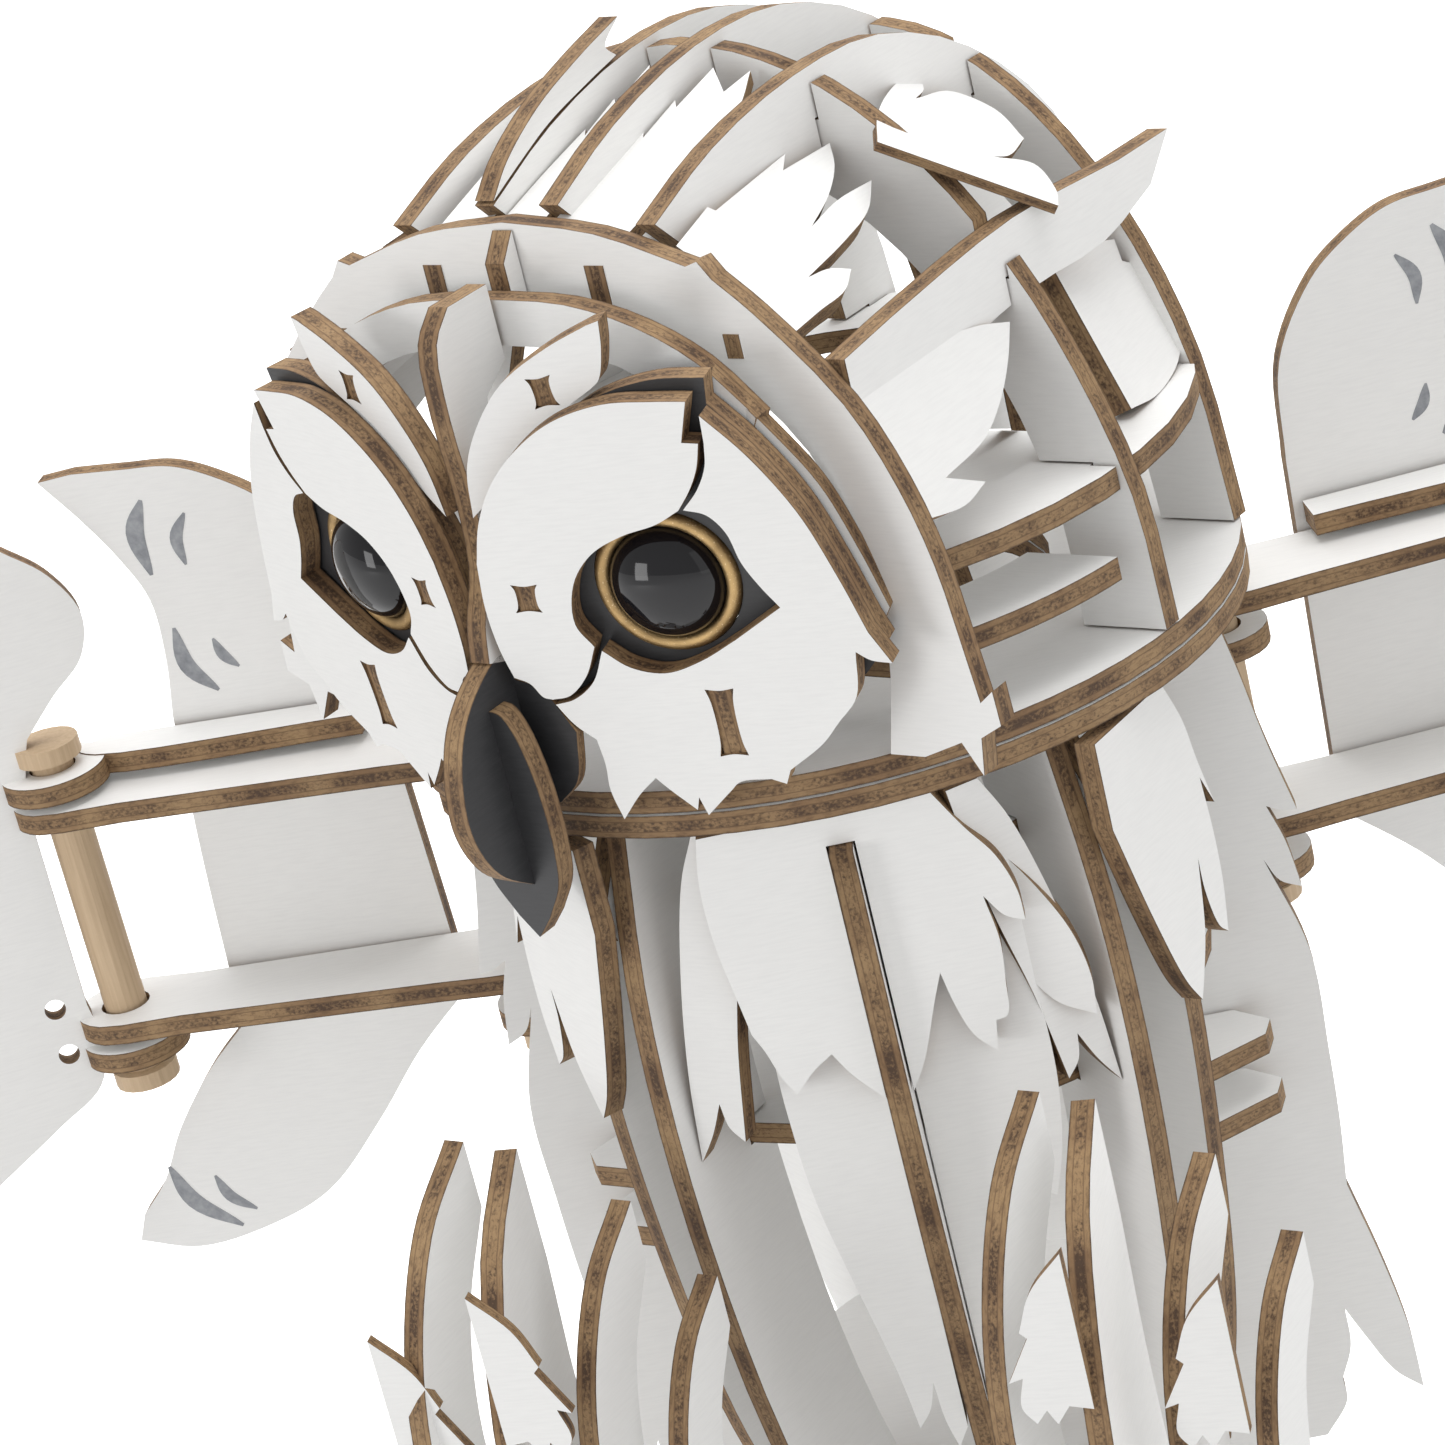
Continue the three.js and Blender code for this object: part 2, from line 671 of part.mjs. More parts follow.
function legOutline() {
  return outline(
    [[-60.4, RING_Z - 44]],
    [[-74, RING_Z - 52], [-84, RING_Z - 70], [-87, RING_Z - 92], [-82, RING_Z - 114], [-70, RING_Z - 134]],
    [[-68, 34], [-74, 24]],
    [[-86, 16], [-92, FOOT_Z]],
    [[-30, FOOT_Z]],
    [[-36, 16], [-50, 24], [-54, 36]],
    [[-54, RING_Z - 134]],
    [[-20, RING_Z - 134]],
    [[-20, RING_Z - 126]],
    [[-50, RING_Z - 124], [-60, RING_Z - 104], [-62, RING_Z - 80], [-60.4, RING_Z - 60]],
  );
}

function makeLegs() {
  const legs = new Assembly();
  for (const [sideName, side] of SIDES) {
    legs.plate(`leg_plate_${sideName}`, legOutline(), lengthwise(side * LEG_X));
    const inner = side * (LEG_X - THIGH_SPREAD);
    const outer = side * (LEG_X + THIGH_SPREAD);
    legs.plate(`thigh_rib_inner_${sideName}`, thighOutline(0.94, -2), lengthwise(inner));
    legs.plate(`thigh_rib_outer_${sideName}`, thighOutline(0.84, -10), lengthwise(outer));
  }
  const group = legs.finish();
  group.rotation.z = radians(LEG_TURN);
  return group;
}

function makeBase() {
  const base = new Assembly();
  base.plate("base_plate", circle(BASE_RADIUS, 0, -18, 60), level(BASE_THICKNESS / 2), {
    thickness: BASE_THICKNESS,
  });
  return base.finish();
}

// ---- the owl -------------------------------------------------------------

const owl = new THREE.Group();
const upper = new THREE.Group();
upper.position.z = RING_Z;
upper.add(makeTorso(), makeHead());
for (const [sideName, side] of SIDES) upper.add(makeWing(sideName, side));
owl.add(makeBase(), makeLegs(), upper);

export default owl;
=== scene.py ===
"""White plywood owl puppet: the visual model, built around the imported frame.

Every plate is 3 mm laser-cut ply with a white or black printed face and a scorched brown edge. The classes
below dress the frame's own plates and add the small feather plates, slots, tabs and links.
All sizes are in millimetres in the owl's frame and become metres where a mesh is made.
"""

import json
import logging
import math
from dataclasses import dataclass
from enum import Enum
from typing import Iterable, Sequence

import bmesh
import bpy
import numpy as np
from mathutils import Matrix, Vector
from mathutils.geometry import tessellate_polygon


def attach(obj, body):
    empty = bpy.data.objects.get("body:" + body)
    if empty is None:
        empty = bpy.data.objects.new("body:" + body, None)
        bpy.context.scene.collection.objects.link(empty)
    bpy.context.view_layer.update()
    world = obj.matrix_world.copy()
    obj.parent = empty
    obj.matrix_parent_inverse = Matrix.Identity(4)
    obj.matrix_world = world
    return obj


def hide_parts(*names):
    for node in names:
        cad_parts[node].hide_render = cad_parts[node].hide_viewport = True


log = logging.getLogger("owl")
MM = 0.001
PLY = 3.0  # thickness of the sheet
GAP = 0.3  # between plates that lie against each other
LAYER = PLY + GAP  # from one stacked plate to the next
RING_Z = 182.0  # height of the neck ring
HEAD_TURN = -35.5
LEG_TURN = -13.0
TAB_SINK = 0.35  # how far a tab's end lies below the slotted face
TAB_PROUD = 0.12  # how far an arch tab's end stands above it
TAB_DEPTH = 2.2
EDGE_ANGLE = 34.0  # a sharper corner than this is a cut's edge
SIDES = (("right", 1), ("left", -1))

Point = tuple[float, float]


class Body(Enum):
    """The rigid bodies of the frame that pieces ride on."""

    TORSO = "body"
    HEAD = "head"
    WING_LEFT = "wing_left"
    WING_RIGHT = "wing_right"
    OUTER_LEFT = "outer_wing_left"
    OUTER_RIGHT = "outer_wing_right"


# ---- finishes ------------------------------------------------------------


class Nodes:
    """A short way to write a material's node tree."""

    def __init__(self, name: str) -> None:
        """Start an empty material with a surface shader.

        Args:
            name: the material's name.
        """
        self.material = bpy.data.materials.new(name)
        self.material.use_nodes = True
        self.tree = self.material.node_tree
        self.tree.nodes.clear()
        self.shader = self.tree.nodes.new("ShaderNodeBsdfPrincipled")
        out = self.tree.nodes.new("ShaderNodeOutputMaterial")
        self.link(self.shader.outputs[0], out.inputs[0])

    def link(self, source: bpy.types.NodeSocket, target: bpy.types.NodeSocket) -> None:
        """Join an output socket to an input socket."""
        self.tree.links.new(source, target)

    def set(self, socket: bpy.types.NodeSocket, value: object) -> None:
        """Link a socket's value where it is an output, or store it where it is a number or a colour."""
        if isinstance(value, bpy.types.NodeSocket):
            self.link(value, socket)
        elif isinstance(value, tuple) and len(value) == 3 and socket.type == "RGBA":
            socket.default_value = (*value, 1.0)
        else:
            socket.default_value = value

    def attribute(self, name: str) -> bpy.types.ShaderNodeAttribute:
        """Read a named attribute of the mesh."""
        node = self.tree.nodes.new("ShaderNodeAttribute")
        node.attribute_name = name
        return node

    def math(self, operation: str, *values: object, clamp: bool = False) -> bpy.types.NodeSocket:
        """One step of arithmetic on numbers or sockets."""
        node = self.tree.nodes.new("ShaderNodeMath")
        node.operation = operation
        node.use_clamp = clamp
        for socket, value in zip(node.inputs, values):
            self.set(socket, value)
        return node.outputs[0]

    def scaled(self, vector: bpy.types.NodeSocket, scale: tuple[float, float, float]) -> bpy.types.NodeSocket:
        """A vector stretched along its own three directions."""
        node = self.tree.nodes.new("ShaderNodeVectorMath")
        node.operation = "MULTIPLY"
        self.link(vector, node.inputs[0])
        node.inputs[1].default_value = scale
        return node.outputs[0]

    def noise(
        self,
        vector: bpy.types.NodeSocket,
        scale: float,
        detail: float = 2.0,
        rough: float = 0.5,
    ) -> bpy.types.NodeSocket:
        """Smooth random values over a vector, from 0 to 1."""
        node = self.tree.nodes.new("ShaderNodeTexNoise")
        self.link(vector, node.inputs["Vector"])
        node.inputs["Scale"].default_value = scale
        node.inputs["Detail"].default_value = detail
        node.inputs["Roughness"].default_value = rough
        return node.outputs["Fac"]

    def ramp(self, value: bpy.types.NodeSocket, low: float, high: float) -> bpy.types.NodeSocket:
        """Zero up to low, one from high, and a straight slope between them."""
        node = self.tree.nodes.new("ShaderNodeMapRange")
        self.link(value, node.inputs[0])
        node.inputs[1].default_value = low
        node.inputs[2].default_value = high
        return node.outputs[0]

    def mix(self, factor: object, first: object, second: object) -> bpy.types.NodeSocket:
        """Blend two colours by a factor."""
        node = self.tree.nodes.new("ShaderNodeMix")
        node.data_type = "RGBA"
        self.set(node.inputs["Factor"], factor)
        self.set(node.inputs[6], first)
        self.set(node.inputs[7], second)
        return node.outputs[2]

    def bump(self, height: bpy.types.NodeSocket, distance: float, strength: float = 1.0) -> None:
        """Raise the surface by a height, for the shader's normal."""
        node = self.tree.nodes.new("ShaderNodeBump")
        node.inputs["Strength"].default_value = strength
        node.inputs["Distance"].default_value = distance
        self.link(height, node.inputs["Height"])
        self.link(node.outputs[0], self.shader.inputs["Normal"])


@dataclass(frozen=True)
class PlyFinish:
    """Printed plywood: a coloured face and a scorched edge that shows its three plies."""

    name: str
    face: tuple[float, float, float]
    face_shadow: tuple[float, float, float]
    slot: str
    tan: tuple[float, float, float] = (0.23, 0.136, 0.068)
    gold: tuple[float, float, float] = (0.34, 0.220, 0.112)
    scorch: tuple[float, float, float] = (0.048, 0.027, 0.017)
    rim: tuple[float, float, float] = (0.105, 0.058, 0.031)

    def material(self) -> bpy.types.Material:
        """Make the material, or give back the one already made.

        The mesh carries a vector attribute "ply", whose first two parts run along the plate in metres and
        whose third goes from -1 to 1 through its thickness, and a face attribute "cut", 1 on a laser cut.
        """
        made = bpy.data.materials.get(self.name)
        if made:
            return made
        n = Nodes(self.name)
        ply = n.attribute("ply")
        cut = n.attribute("cut").outputs["Fac"]
        split = n.tree.nodes.new("ShaderNodeSeparateXYZ")
        n.link(ply.outputs["Vector"], split.inputs[0])
        through = n.math("ABSOLUTE", split.outputs[2])

        # the scorched edge: plain outer plies, a core ply speckled with scorch, glue lines and dark rims
        patches = n.noise(n.scaled(ply.outputs["Vector"], (1.0, 1.0, 0.0006)), 95.0, 2.0, 0.55)
        fibres = n.noise(n.scaled(ply.outputs["Vector"], (0.35, 0.35, 0.0015)), 2300.0, 3.0, 0.65)
        speckle = n.noise(n.scaled(ply.outputs["Vector"], (0.7, 0.7, 0.0014)), 2700.0, 2.0, 0.6)
        wander = n.math("MULTIPLY_ADD", n.math("SUBTRACT", fibres, 0.5), 0.16, through)
        wood = n.mix(n.ramp(patches, 0.34, 0.66), self.tan, self.gold)
        wood = n.mix(n.math("MULTIPLY", n.ramp(fibres, 0.45, 0.70), 0.55), wood, self.rim)
        core = n.math("SUBTRACT", 1.0, n.ramp(wander, 0.38, 0.46))
        burnt = n.math("MULTIPLY_ADD", n.math("SUBTRACT", 0.5, patches), 0.9, speckle)
        charred = n.math("MULTIPLY", core, n.ramp(burnt, 0.42, 0.66))
        wood = n.mix(n.math("MULTIPLY", charred, 0.85), wood, self.scorch)
        from_seam = n.math("ABSOLUTE", n.math("SUBTRACT", wander, 0.44))
        seam = n.math("SUBTRACT", 1.0, n.ramp(from_seam, 0.0, 0.08))
        wood = n.mix(n.math("MULTIPLY", seam, 0.75), wood, self.rim)
        rim = n.ramp(wander, 0.84, 0.98)
        wood = n.mix(n.math("MULTIPLY", rim, 0.85), wood, self.scorch)

        # the printed face: faint lines of grain under the print, and a thin scorched line at its border
        grain = n.noise(n.scaled(ply.outputs["Vector"], (0.10, 1.0, 0.0)), 2600.0, 3.0, 0.6)
        mottle = n.noise(ply.outputs["Vector"], 120.0, 2.0, 0.5)
        face = n.mix(n.math("MULTIPLY", n.ramp(grain, 0.40, 0.70), 0.45), self.face, self.face_shadow)
        face = n.mix(n.math("MULTIPLY", n.ramp(mottle, 0.35, 0.75), 0.20), face, self.face_shadow)

        n.set(n.shader.inputs["Base Color"], n.mix(cut, face, wood))
        rough = n.math("MULTIPLY_ADD", n.ramp(grain, 0.3, 0.7), 0.08, 0.42)
        n.set(n.shader.inputs["Roughness"], n.math("MULTIPLY_ADD", cut, 0.28, rough))
        n.shader.inputs["Specular IOR Level"].default_value = 0.35
        cut_height = n.math("MULTIPLY", n.math("ADD", speckle, fibres), n.math("MULTIPLY", cut, 1.0))
        face_height = n.math("MULTIPLY", grain, n.math("MULTIPLY_ADD", cut, -0.16, 0.16))
        n.bump(n.math("ADD", cut_height, face_height), 0.00012, 0.7)
        return n.material


@dataclass(frozen=True)
class BrassFinish:
    """Antique brass with a fine sparkle."""

    name: str = "antique_brass"
    slot: str = "brass_ring"

    def material(self) -> bpy.types.Material:
        """Make the material, or give back the one already made."""
        made = bpy.data.materials.get(self.name)
        if made:
            return made
        n = Nodes(self.name)
        where = n.tree.nodes.new("ShaderNodeTexCoord").outputs["Object"]
        grit = n.noise(where, 4200.0, 2.0, 0.7)
        tone = n.noise(where, 300.0, 2.0, 0.5)
        colour = n.mix(n.ramp(tone, 0.35, 0.7), (0.44, 0.30, 0.14), (0.27, 0.18, 0.085))
        n.set(n.shader.inputs["Base Color"], n.mix(n.ramp(grit, 0.62, 0.72), colour, (0.75, 0.60, 0.38)))
        n.shader.inputs["Metallic"].default_value = 1.0
        n.set(n.shader.inputs["Roughness"], n.math("MULTIPLY_ADD", grit, 0.35, 0.34))
        n.bump(grit, 0.00006, 0.9)
        return n.material


@dataclass(frozen=True)
class GlossFinish:
    """Polished black, for the domed eyes."""

    name: str = "black_dome"
    slot: str = "eye_gloss"

    def material(self) -> bpy.types.Material:
        """Make the material, or give back the one already made."""
        made = bpy.data.materials.get(self.name)
        if made:
            return made
        n = Nodes(self.name)
        where = n.tree.nodes.new("ShaderNodeTexCoord").outputs["Object"]
        depth = n.noise(where, 90.0, 1.0, 0.4)
        n.set(n.shader.inputs["Base Color"], n.mix(depth, (0.004, 0.004, 0.005), (0.009, 0.008, 0.010)))
        n.shader.inputs["Roughness"].default_value = 0.09
        n.shader.inputs["IOR"].default_value = 1.5
        n.shader.inputs["Specular IOR Level"].default_value = 0.12
        n.shader.inputs["Coat Weight"].default_value = 0.45
        n.shader.inputs["Coat Roughness"].default_value = 0.03
        return n.material


@dataclass(frozen=True)
class DowelFinish:
    """Turned wooden dowel, with its grain along the upright axis."""

    name: str = "dowel_wood"
    slot: str = "dowel"

    def material(self) -> bpy.types.Material:
        """Make the material, or give back the one already made."""
        made = bpy.data.materials.get(self.name)
        if made:
            return made
        n = Nodes(self.name)
        where = n.tree.nodes.new("ShaderNodeTexCoord").outputs["Object"]
        grain = n.noise(n.scaled(where, (1.0, 1.0, 0.05)), 1500.0, 3.0, 0.6)
        n.set(n.shader.inputs["Base Color"], n.mix(grain, (0.42, 0.29, 0.17), (0.66, 0.50, 0.33)))
        n.shader.inputs["Roughness"].default_value = 0.6
        n.bump(grain, 0.0001, 0.5)
        return n.material


@dataclass(frozen=True)
class PrintFinish:
    """Soft grey ink."""

    name: str = "grey_ink"
    slot: str = "white_ply"

    def material(self) -> bpy.types.Material:
        """Make the material, or give back the one already made."""
        made = bpy.data.materials.get(self.name)
        if made:
            return made
        n = Nodes(self.name)
        where = n.tree.nodes.new("ShaderNodeTexCoord").outputs["Object"]
        tone = n.noise(where, 700.0, 3.0, 0.6)
        ink = n.mix(n.ramp(tone, 0.3, 0.7), (0.20, 0.21, 0.23), (0.34, 0.35, 0.37))
        n.set(n.shader.inputs["Base Color"], ink)
        n.shader.inputs["Roughness"].default_value = 0.6
        return n.material


WHITE = PlyFinish("white_printed_plywood", (0.85, 0.845, 0.83), (0.78, 0.775, 0.765), "white_ply")
BLACK = PlyFinish("black_printed_plywood", (0.030, 0.030, 0.032), (0.048, 0.048, 0.050), "black_ply")
BRASS = BrassFinish()
GLOSS = GlossFinish()
DOWEL = DowelFinish()
PRINT = PrintFinish()
Finish = PlyFinish | BrassFinish | GlossFinish | DowelFinish | PrintFinish


# ---- outlines and placings -----------------------------------------------


def smooth(points: Sequence[Point], steps: int = 6) -> np.ndarray:
    """A smooth curve through points.

    Centripetal Catmull-Rom: each stretch is a blend of its four nearest points, with knots spaced by the
    square root of their distances.

    Args:
        points: the points that the curve passes through.
        steps: pieces between one point and the next.

    Returns:
        The curve's points, the first and last of them the given ends.
    """
    p = np.asarray(points, float)
    ends = np.vstack([2 * p[0] - p[1], p, 2 * p[-1] - p[-2]])
    a, b, c, d = ends[:-3], ends[1:-2], ends[2:-1], ends[3:]
    gap = [np.sqrt(np.linalg.norm(q - r, axis=1))[:, None, None] for q, r in ((b, a), (c, b), (d, c))]
    t1, t2 = gap[0], gap[0] + gap[1]
    t3 = t2 + gap[2]
    t = t1 + (t2 - t1) * (np.arange(steps) / steps)[None, :, None]
    a, b, c, d = (q[:, None, :] for q in (a, b, c, d))
    ab = a * (t1 - t) / t1 + b * t / t1
    bc = b * (t2 - t) / (t2 - t1) + c * (t - t1) / (t2 - t1)
    cd = c * (t3 - t) / (t3 - t2) + d * (t - t2) / (t3 - t2)
    abc = ab * (t2 - t) / t2 + bc * t / t2
    bcd = bc * (t3 - t) / (t3 - t1) + cd * (t - t1) / (t3 - t1)
    curve = abc * (t2 - t) / (t2 - t1) + bcd * (t - t1) / (t2 - t1)
    return np.vstack([curve.reshape(-1, 2), p[-1]])


def outline(*runs: Sequence[Point]) -> np.ndarray:
    """A closed cut made of runs, with a sharp corner where one run ends and the next begins.

    Args:
        runs: each is one new point for a straight cut, or more for a smooth one.

    Returns:
        The outline's points, without the first repeated at the end.
    """
    points = smooth(runs[0]) if len(runs[0]) > 1 else np.asarray(runs[0], float)
    for run in runs[1:]:
        knots = [tuple(points[-1]), *run]
        new = smooth(knots) if len(knots) > 2 else np.asarray(knots, float)
        points = np.vstack([points, new[1:]])
    if np.linalg.norm(points[0] - points[-1]) < 1e-6:
        points = points[:-1]
    return points


def sided(side: int, points: np.ndarray) -> np.ndarray:
    """The outline as it is for side 1, or mirrored from side to side for side -1."""
    return points * np.array([side, 1.0])


def mirrored(half: np.ndarray) -> np.ndarray:
    """A whole outline from its right half, whose first and last points are on the middle line."""
    other = sided(-1, half)[::-1]
    return np.vstack([half, other[1:-1]])


def ring_of(radius: float, segments: int = 24, x: float = 0.0, y: float = 0.0) -> np.ndarray:
    """A round hole or disc: points at equal angles on a circle."""
    a = np.linspace(0, 2 * math.pi, segments, endpoint=False)
    return np.stack([x + radius * np.cos(a), y + radius * np.sin(a)], 1)


def turn_z(degrees: float) -> Matrix:
    """A turn about the upright axis."""
    return Matrix.Rotation(math.radians(degrees), 4, "Z")


Triple = Sequence[float]


def placing(across: Triple, up: Triple, front: Triple, at: Triple) -> Matrix:
    """A frame from its three directions and its origin, in millimetres."""
    m = Matrix((across, up, front)).transposed().to_4x4()
    m.translation = Vector(at)
    return m


def facing(y: float, x: float = 0.0, z: float = 0.0) -> Matrix:
    """A plate that faces the front: its outline lies across and up."""
    return placing((1, 0, 0), (0, 0, 1), (0, -1, 0), (x, y, z))


def lengthwise(x: float) -> Matrix:
    """A plate that faces sideways: its outline lies front to back and up."""
    return placing((0, 1, 0), (0, 0, 1), (1, 0, 0), (x, 0, 0))


def level(z: float) -> Matrix:
    """A plate that lies flat."""
    return placing((1, 0, 0), (0, 1, 0), (0, 0, 1), (0, 0, z))


def radial(angle: float) -> Matrix:
    """A plate that runs outward from the upright axis at an angle from the front."""
    a = math.radians(angle)
    return placing((math.sin(a), -math.cos(a), 0), (0, 0, 1), (-math.cos(a), -math.sin(a), 0), (0, 0, 0))


def wrapped(angle: float, radius: float) -> Matrix:
    """A plate that faces outward at an angle from the front, at a distance from the upright axis.

    Args:
        angle: degrees from the front towards the viewer's right.
        radius: distance of the plate's middle plane from the axis.
    """
    a = math.radians(angle)
    out = Vector((math.sin(a), -math.cos(a), 0))
    across = Vector((math.cos(a), math.sin(a), 0))
    return placing(across, (0, 0, 1), out, out * radius)


HEAD = Matrix.Translation((0, 0, RING_Z)) @ turn_z(HEAD_TURN)
TORSO = Matrix.Translation((0, 0, RING_Z))
LEGS = turn_z(LEG_TURN)


# ---- plates --------------------------------------------------------------


def finish_mesh(mesh: bpy.types.Mesh, frame: Matrix, half: float) -> None:
    """Store the two attributes that the ply finish reads.

    Each vertex gets its place in the plate's own frame, as (along, up, through), where through is -1 to 1
    across the thickness. A face is a laser cut unless it faces along the thickness and lies on the outside.

    Args:
        mesh: the plate's mesh, in metres.
        frame: the plate's own frame, in metres, with its third direction through the thickness.
        half: half the thickness, in metres.
    """
    count = len(mesh.vertices)
    co = np.empty(count * 3, np.float32)
    mesh.vertices.foreach_get("co", co)
    inverse = np.array(frame.inverted())
    local = co.reshape(-1, 3) @ inverse[:3, :3].T + inverse[:3, 3]
    local[:, 2] /= half
    layer = mesh.attributes.new("ply", "FLOAT_VECTOR", "POINT")
    layer.data.foreach_set("vector", local.astype(np.float32).ravel())
    faces = len(mesh.polygons)
    normal = np.empty(faces * 3, np.float32)
    centre = np.empty(faces * 3, np.float32)
    mesh.polygons.foreach_get("normal", normal)
    mesh.polygons.foreach_get("center", centre)
    along = np.abs(normal.reshape(-1, 3) @ np.array(frame)[:3, 2])
    depth = np.abs(centre.reshape(-1, 3) @ inverse[2, :3] + inverse[2, 3]) / half
    cut = ~((along > 0.8) & (depth > 0.9))
    mark = mesh.attributes.new("cut", "FLOAT", "FACE")
    mark.data.foreach_set("value", cut.astype(np.float32))
    mesh.polygons.foreach_set("use_smooth", np.ones(faces, bool))
    mesh.set_sharp_from_angle(angle=math.radians(EDGE_ANGLE))
    mesh.update()


def slab_mesh(
    name: str,
    points: np.ndarray,
    frame: Matrix,
    thickness: float = PLY,
    holes: Iterable[np.ndarray] = (),
) -> bpy.types.Mesh:
    """A closed plate from an outline, with its cuts marked: two caps, and a wall round each loop.

    Args:
        name: the mesh's name.
        points: the outline, in millimetres.
        frame: the plate's own frame, in millimetres.
        thickness: the plate's thickness, in millimetres.
        holes: outlines of openings.
    """
    loops = [np.asarray(points, float), *[np.asarray(h, float) for h in holes]]
    flat = np.vstack(loops)
    caps = np.array(tessellate_polygon([[Vector((x, y, 0)) for x, y in loop] for loop in loops]))
    a, b, c = (flat[caps[:, i]] for i in range(3))
    area = (b - a)[:, 0] * (c - a)[:, 1] - (b - a)[:, 1] * (c - a)[:, 0]
    caps = np.where((area < 0)[:, None], caps[:, ::-1], caps)
    count = len(flat)
    top = caps
    bottom = caps[:, ::-1] + count
    walls = []
    start = 0
    for index, loop in enumerate(loops):
        x, y = loop.T
        turn = float(np.sum(x * np.roll(y, -1) - np.roll(x, -1) * y))
        near = start + np.arange(len(loop))
        far = np.roll(near, -1)
        if (turn < 0) != (index > 0):
            near, far = far, near
        walls.append(np.stack([near, near + count, far + count, far], 1))
        start += len(loop)
    z = np.repeat([thickness / 2, -thickness / 2], count)
    local = np.column_stack([np.vstack([flat, flat]), z])
    m = np.array(frame)
    world = (local @ m[:3, :3].T + m[:3, 3]) * MM
    mesh = bpy.data.meshes.new(name)
    faces = [*top.tolist(), *bottom.tolist(), *np.vstack(walls).tolist()]
    mesh.from_pydata(world.tolist(), [], faces)
    mesh.update()
    finish_mesh(mesh, in_metres(frame), thickness * MM / 2)
    return mesh


def in_metres(frame: Matrix) -> Matrix:
    """The same frame with its origin in metres."""
    m = frame.copy()
    m.translation = frame.translation * MM
    return m


def present(mesh: bpy.types.Mesh, finish: Finish, body: Body, *nodes: str) -> bpy.types.Object:
    """Show a mesh as a piece of the owl.

    Args:
        mesh: the finished mesh, whose name becomes the piece's name.
        finish: its finish.
        body: the body that it rides on.
        nodes: the frame's nodes that it stands for.
    """
    obj = bpy.data.objects.new(mesh.name, mesh)
    bpy.context.scene.collection.objects.link(obj)
    mesh.materials.clear()
    mesh.materials.append(finish.material())
    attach(obj, body.value)
    if nodes:
        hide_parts(*nodes)
    log.info("%s: %d faces", mesh.name, len(mesh.polygons))
    return obj


def plate(
    name: str,
    points: np.ndarray,
    frame: Matrix,
    body: Body,
    *nodes: str,
    finish: Finish = WHITE,
    thickness: float = PLY,
    holes: Iterable[np.ndarray] = (),
) -> bpy.types.Object:
    """Make a new plate from an outline and show it, in place of any nodes that are named."""
    return present(slab_mesh(name, points, frame, thickness, holes), finish, body, *nodes)


def body_of(node: str) -> Body:
    """The body that a node of the frame belongs to."""
    for name, members in FRAME["record"]["behaviour"]["bodies"].items():
        if node in members:
            return Body(name)
    raise ValueError(node)


def plate_frame(mesh: bpy.types.Mesh) -> tuple[Matrix, float]:
    """Find how a flat plate stands from its own faces.

    The thickness runs along the normal that carries the most face area. The first direction is level.

    Args:
        mesh: the plate's mesh.

    Returns:
        The plate's frame, in metres, and half its thickness.
    """
    faces = len(mesh.polygons)
    normal = np.empty(faces * 3)
    area = np.empty(faces)
    mesh.polygons.foreach_get("normal", normal)
    mesh.polygons.foreach_get("area", area)
    normal = normal.reshape(-1, 3)
    through = normal[np.argmax([area[(normal @ n) > 0.999].sum() for n in normal])]
    across = np.cross((0, 0, 1), through) if abs(through[2]) < 0.9 else np.array((1.0, 0, 0))
    across /= np.linalg.norm(across)
    up = np.cross(through, across)
    co = np.empty(len(mesh.vertices) * 3)
    mesh.vertices.foreach_get("co", co)
    depth = co.reshape(-1, 3) @ through
    middle = (depth.max() + depth.min()) / 2
    frame = placing(across, up, through, through * middle)
    return frame, (depth.max() - depth.min()) / 2


def clad(node: str, finish: PlyFinish) -> bpy.types.Object:
    """Dress one of the frame's plates: a merged copy of its mesh with its cuts marked."""
    mesh = FRAME["nodes"][node].data.copy()
    mesh.name = node + "_ply"
    bm = bmesh.new()
    bm.from_mesh(mesh)
    bmesh.ops.remove_doubles(bm, verts=bm.verts, dist=2e-6)
    bmesh.ops.dissolve_limit(bm, angle_limit=math.radians(0.5), verts=bm.verts, edges=bm.edges)
    bm.to_mesh(mesh)
    bm.free()
    finish_mesh(mesh, *plate_frame(mesh))
    return present(mesh, finish, body_of(node), node)


def joined(name: str, meshes: Sequence[bpy.types.Mesh]) -> bpy.types.Mesh:
    """Several finished meshes as one."""
    bm = bmesh.new()
    for mesh in meshes:
        bm.from_mesh(mesh)
    whole = bpy.data.meshes.new(name)
    bm.to_mesh(whole)
    bm.free()
    for mesh in meshes:
        bpy.data.meshes.remove(mesh)
    return whole


def revolve(name: str, profile: Sequence[Point], frame: Matrix, segments: int = 72) -> bpy.types.Mesh:
    """A turned piece: a profile of (radius, height) points swept round its frame's third direction.

    Each ring of vertices is the profile's point at equal angles. The profile runs from its outer foot over the
    top to its inner foot, or to the axis, and the foot is left open against the plate behind it.

    Args:
        name: the mesh's name.
        profile: the points.
        frame: the turning axis and its origin, in millimetres.
        segments: steps round the axis.
    """
    p = np.asarray(profile, float)
    a = np.linspace(0, 2 * math.pi, segments, endpoint=False)
    rings = np.stack([p[:, :1] * np.cos(a), p[:, :1] * np.sin(a), np.repeat(p[:, 1:], segments, 1)], 2)
    m = np.array(frame)
    world = (rings.reshape(-1, 3) @ m[:3, :3].T + m[:3, 3]) * MM
    index = np.arange(len(p) * segments).reshape(len(p), segments)
    near, far = index[:-1], index[1:]
    quads = np.stack([near, np.roll(near, -1, 1), np.roll(far, -1, 1), far], 2).reshape(-1, 4)
    mesh = bpy.data.meshes.new(name)
    mesh.from_pydata(world.tolist(), [], quads.tolist())
    mesh.polygons.foreach_set("use_smooth", np.ones(len(quads), bool))
    mesh.update()
    return mesh


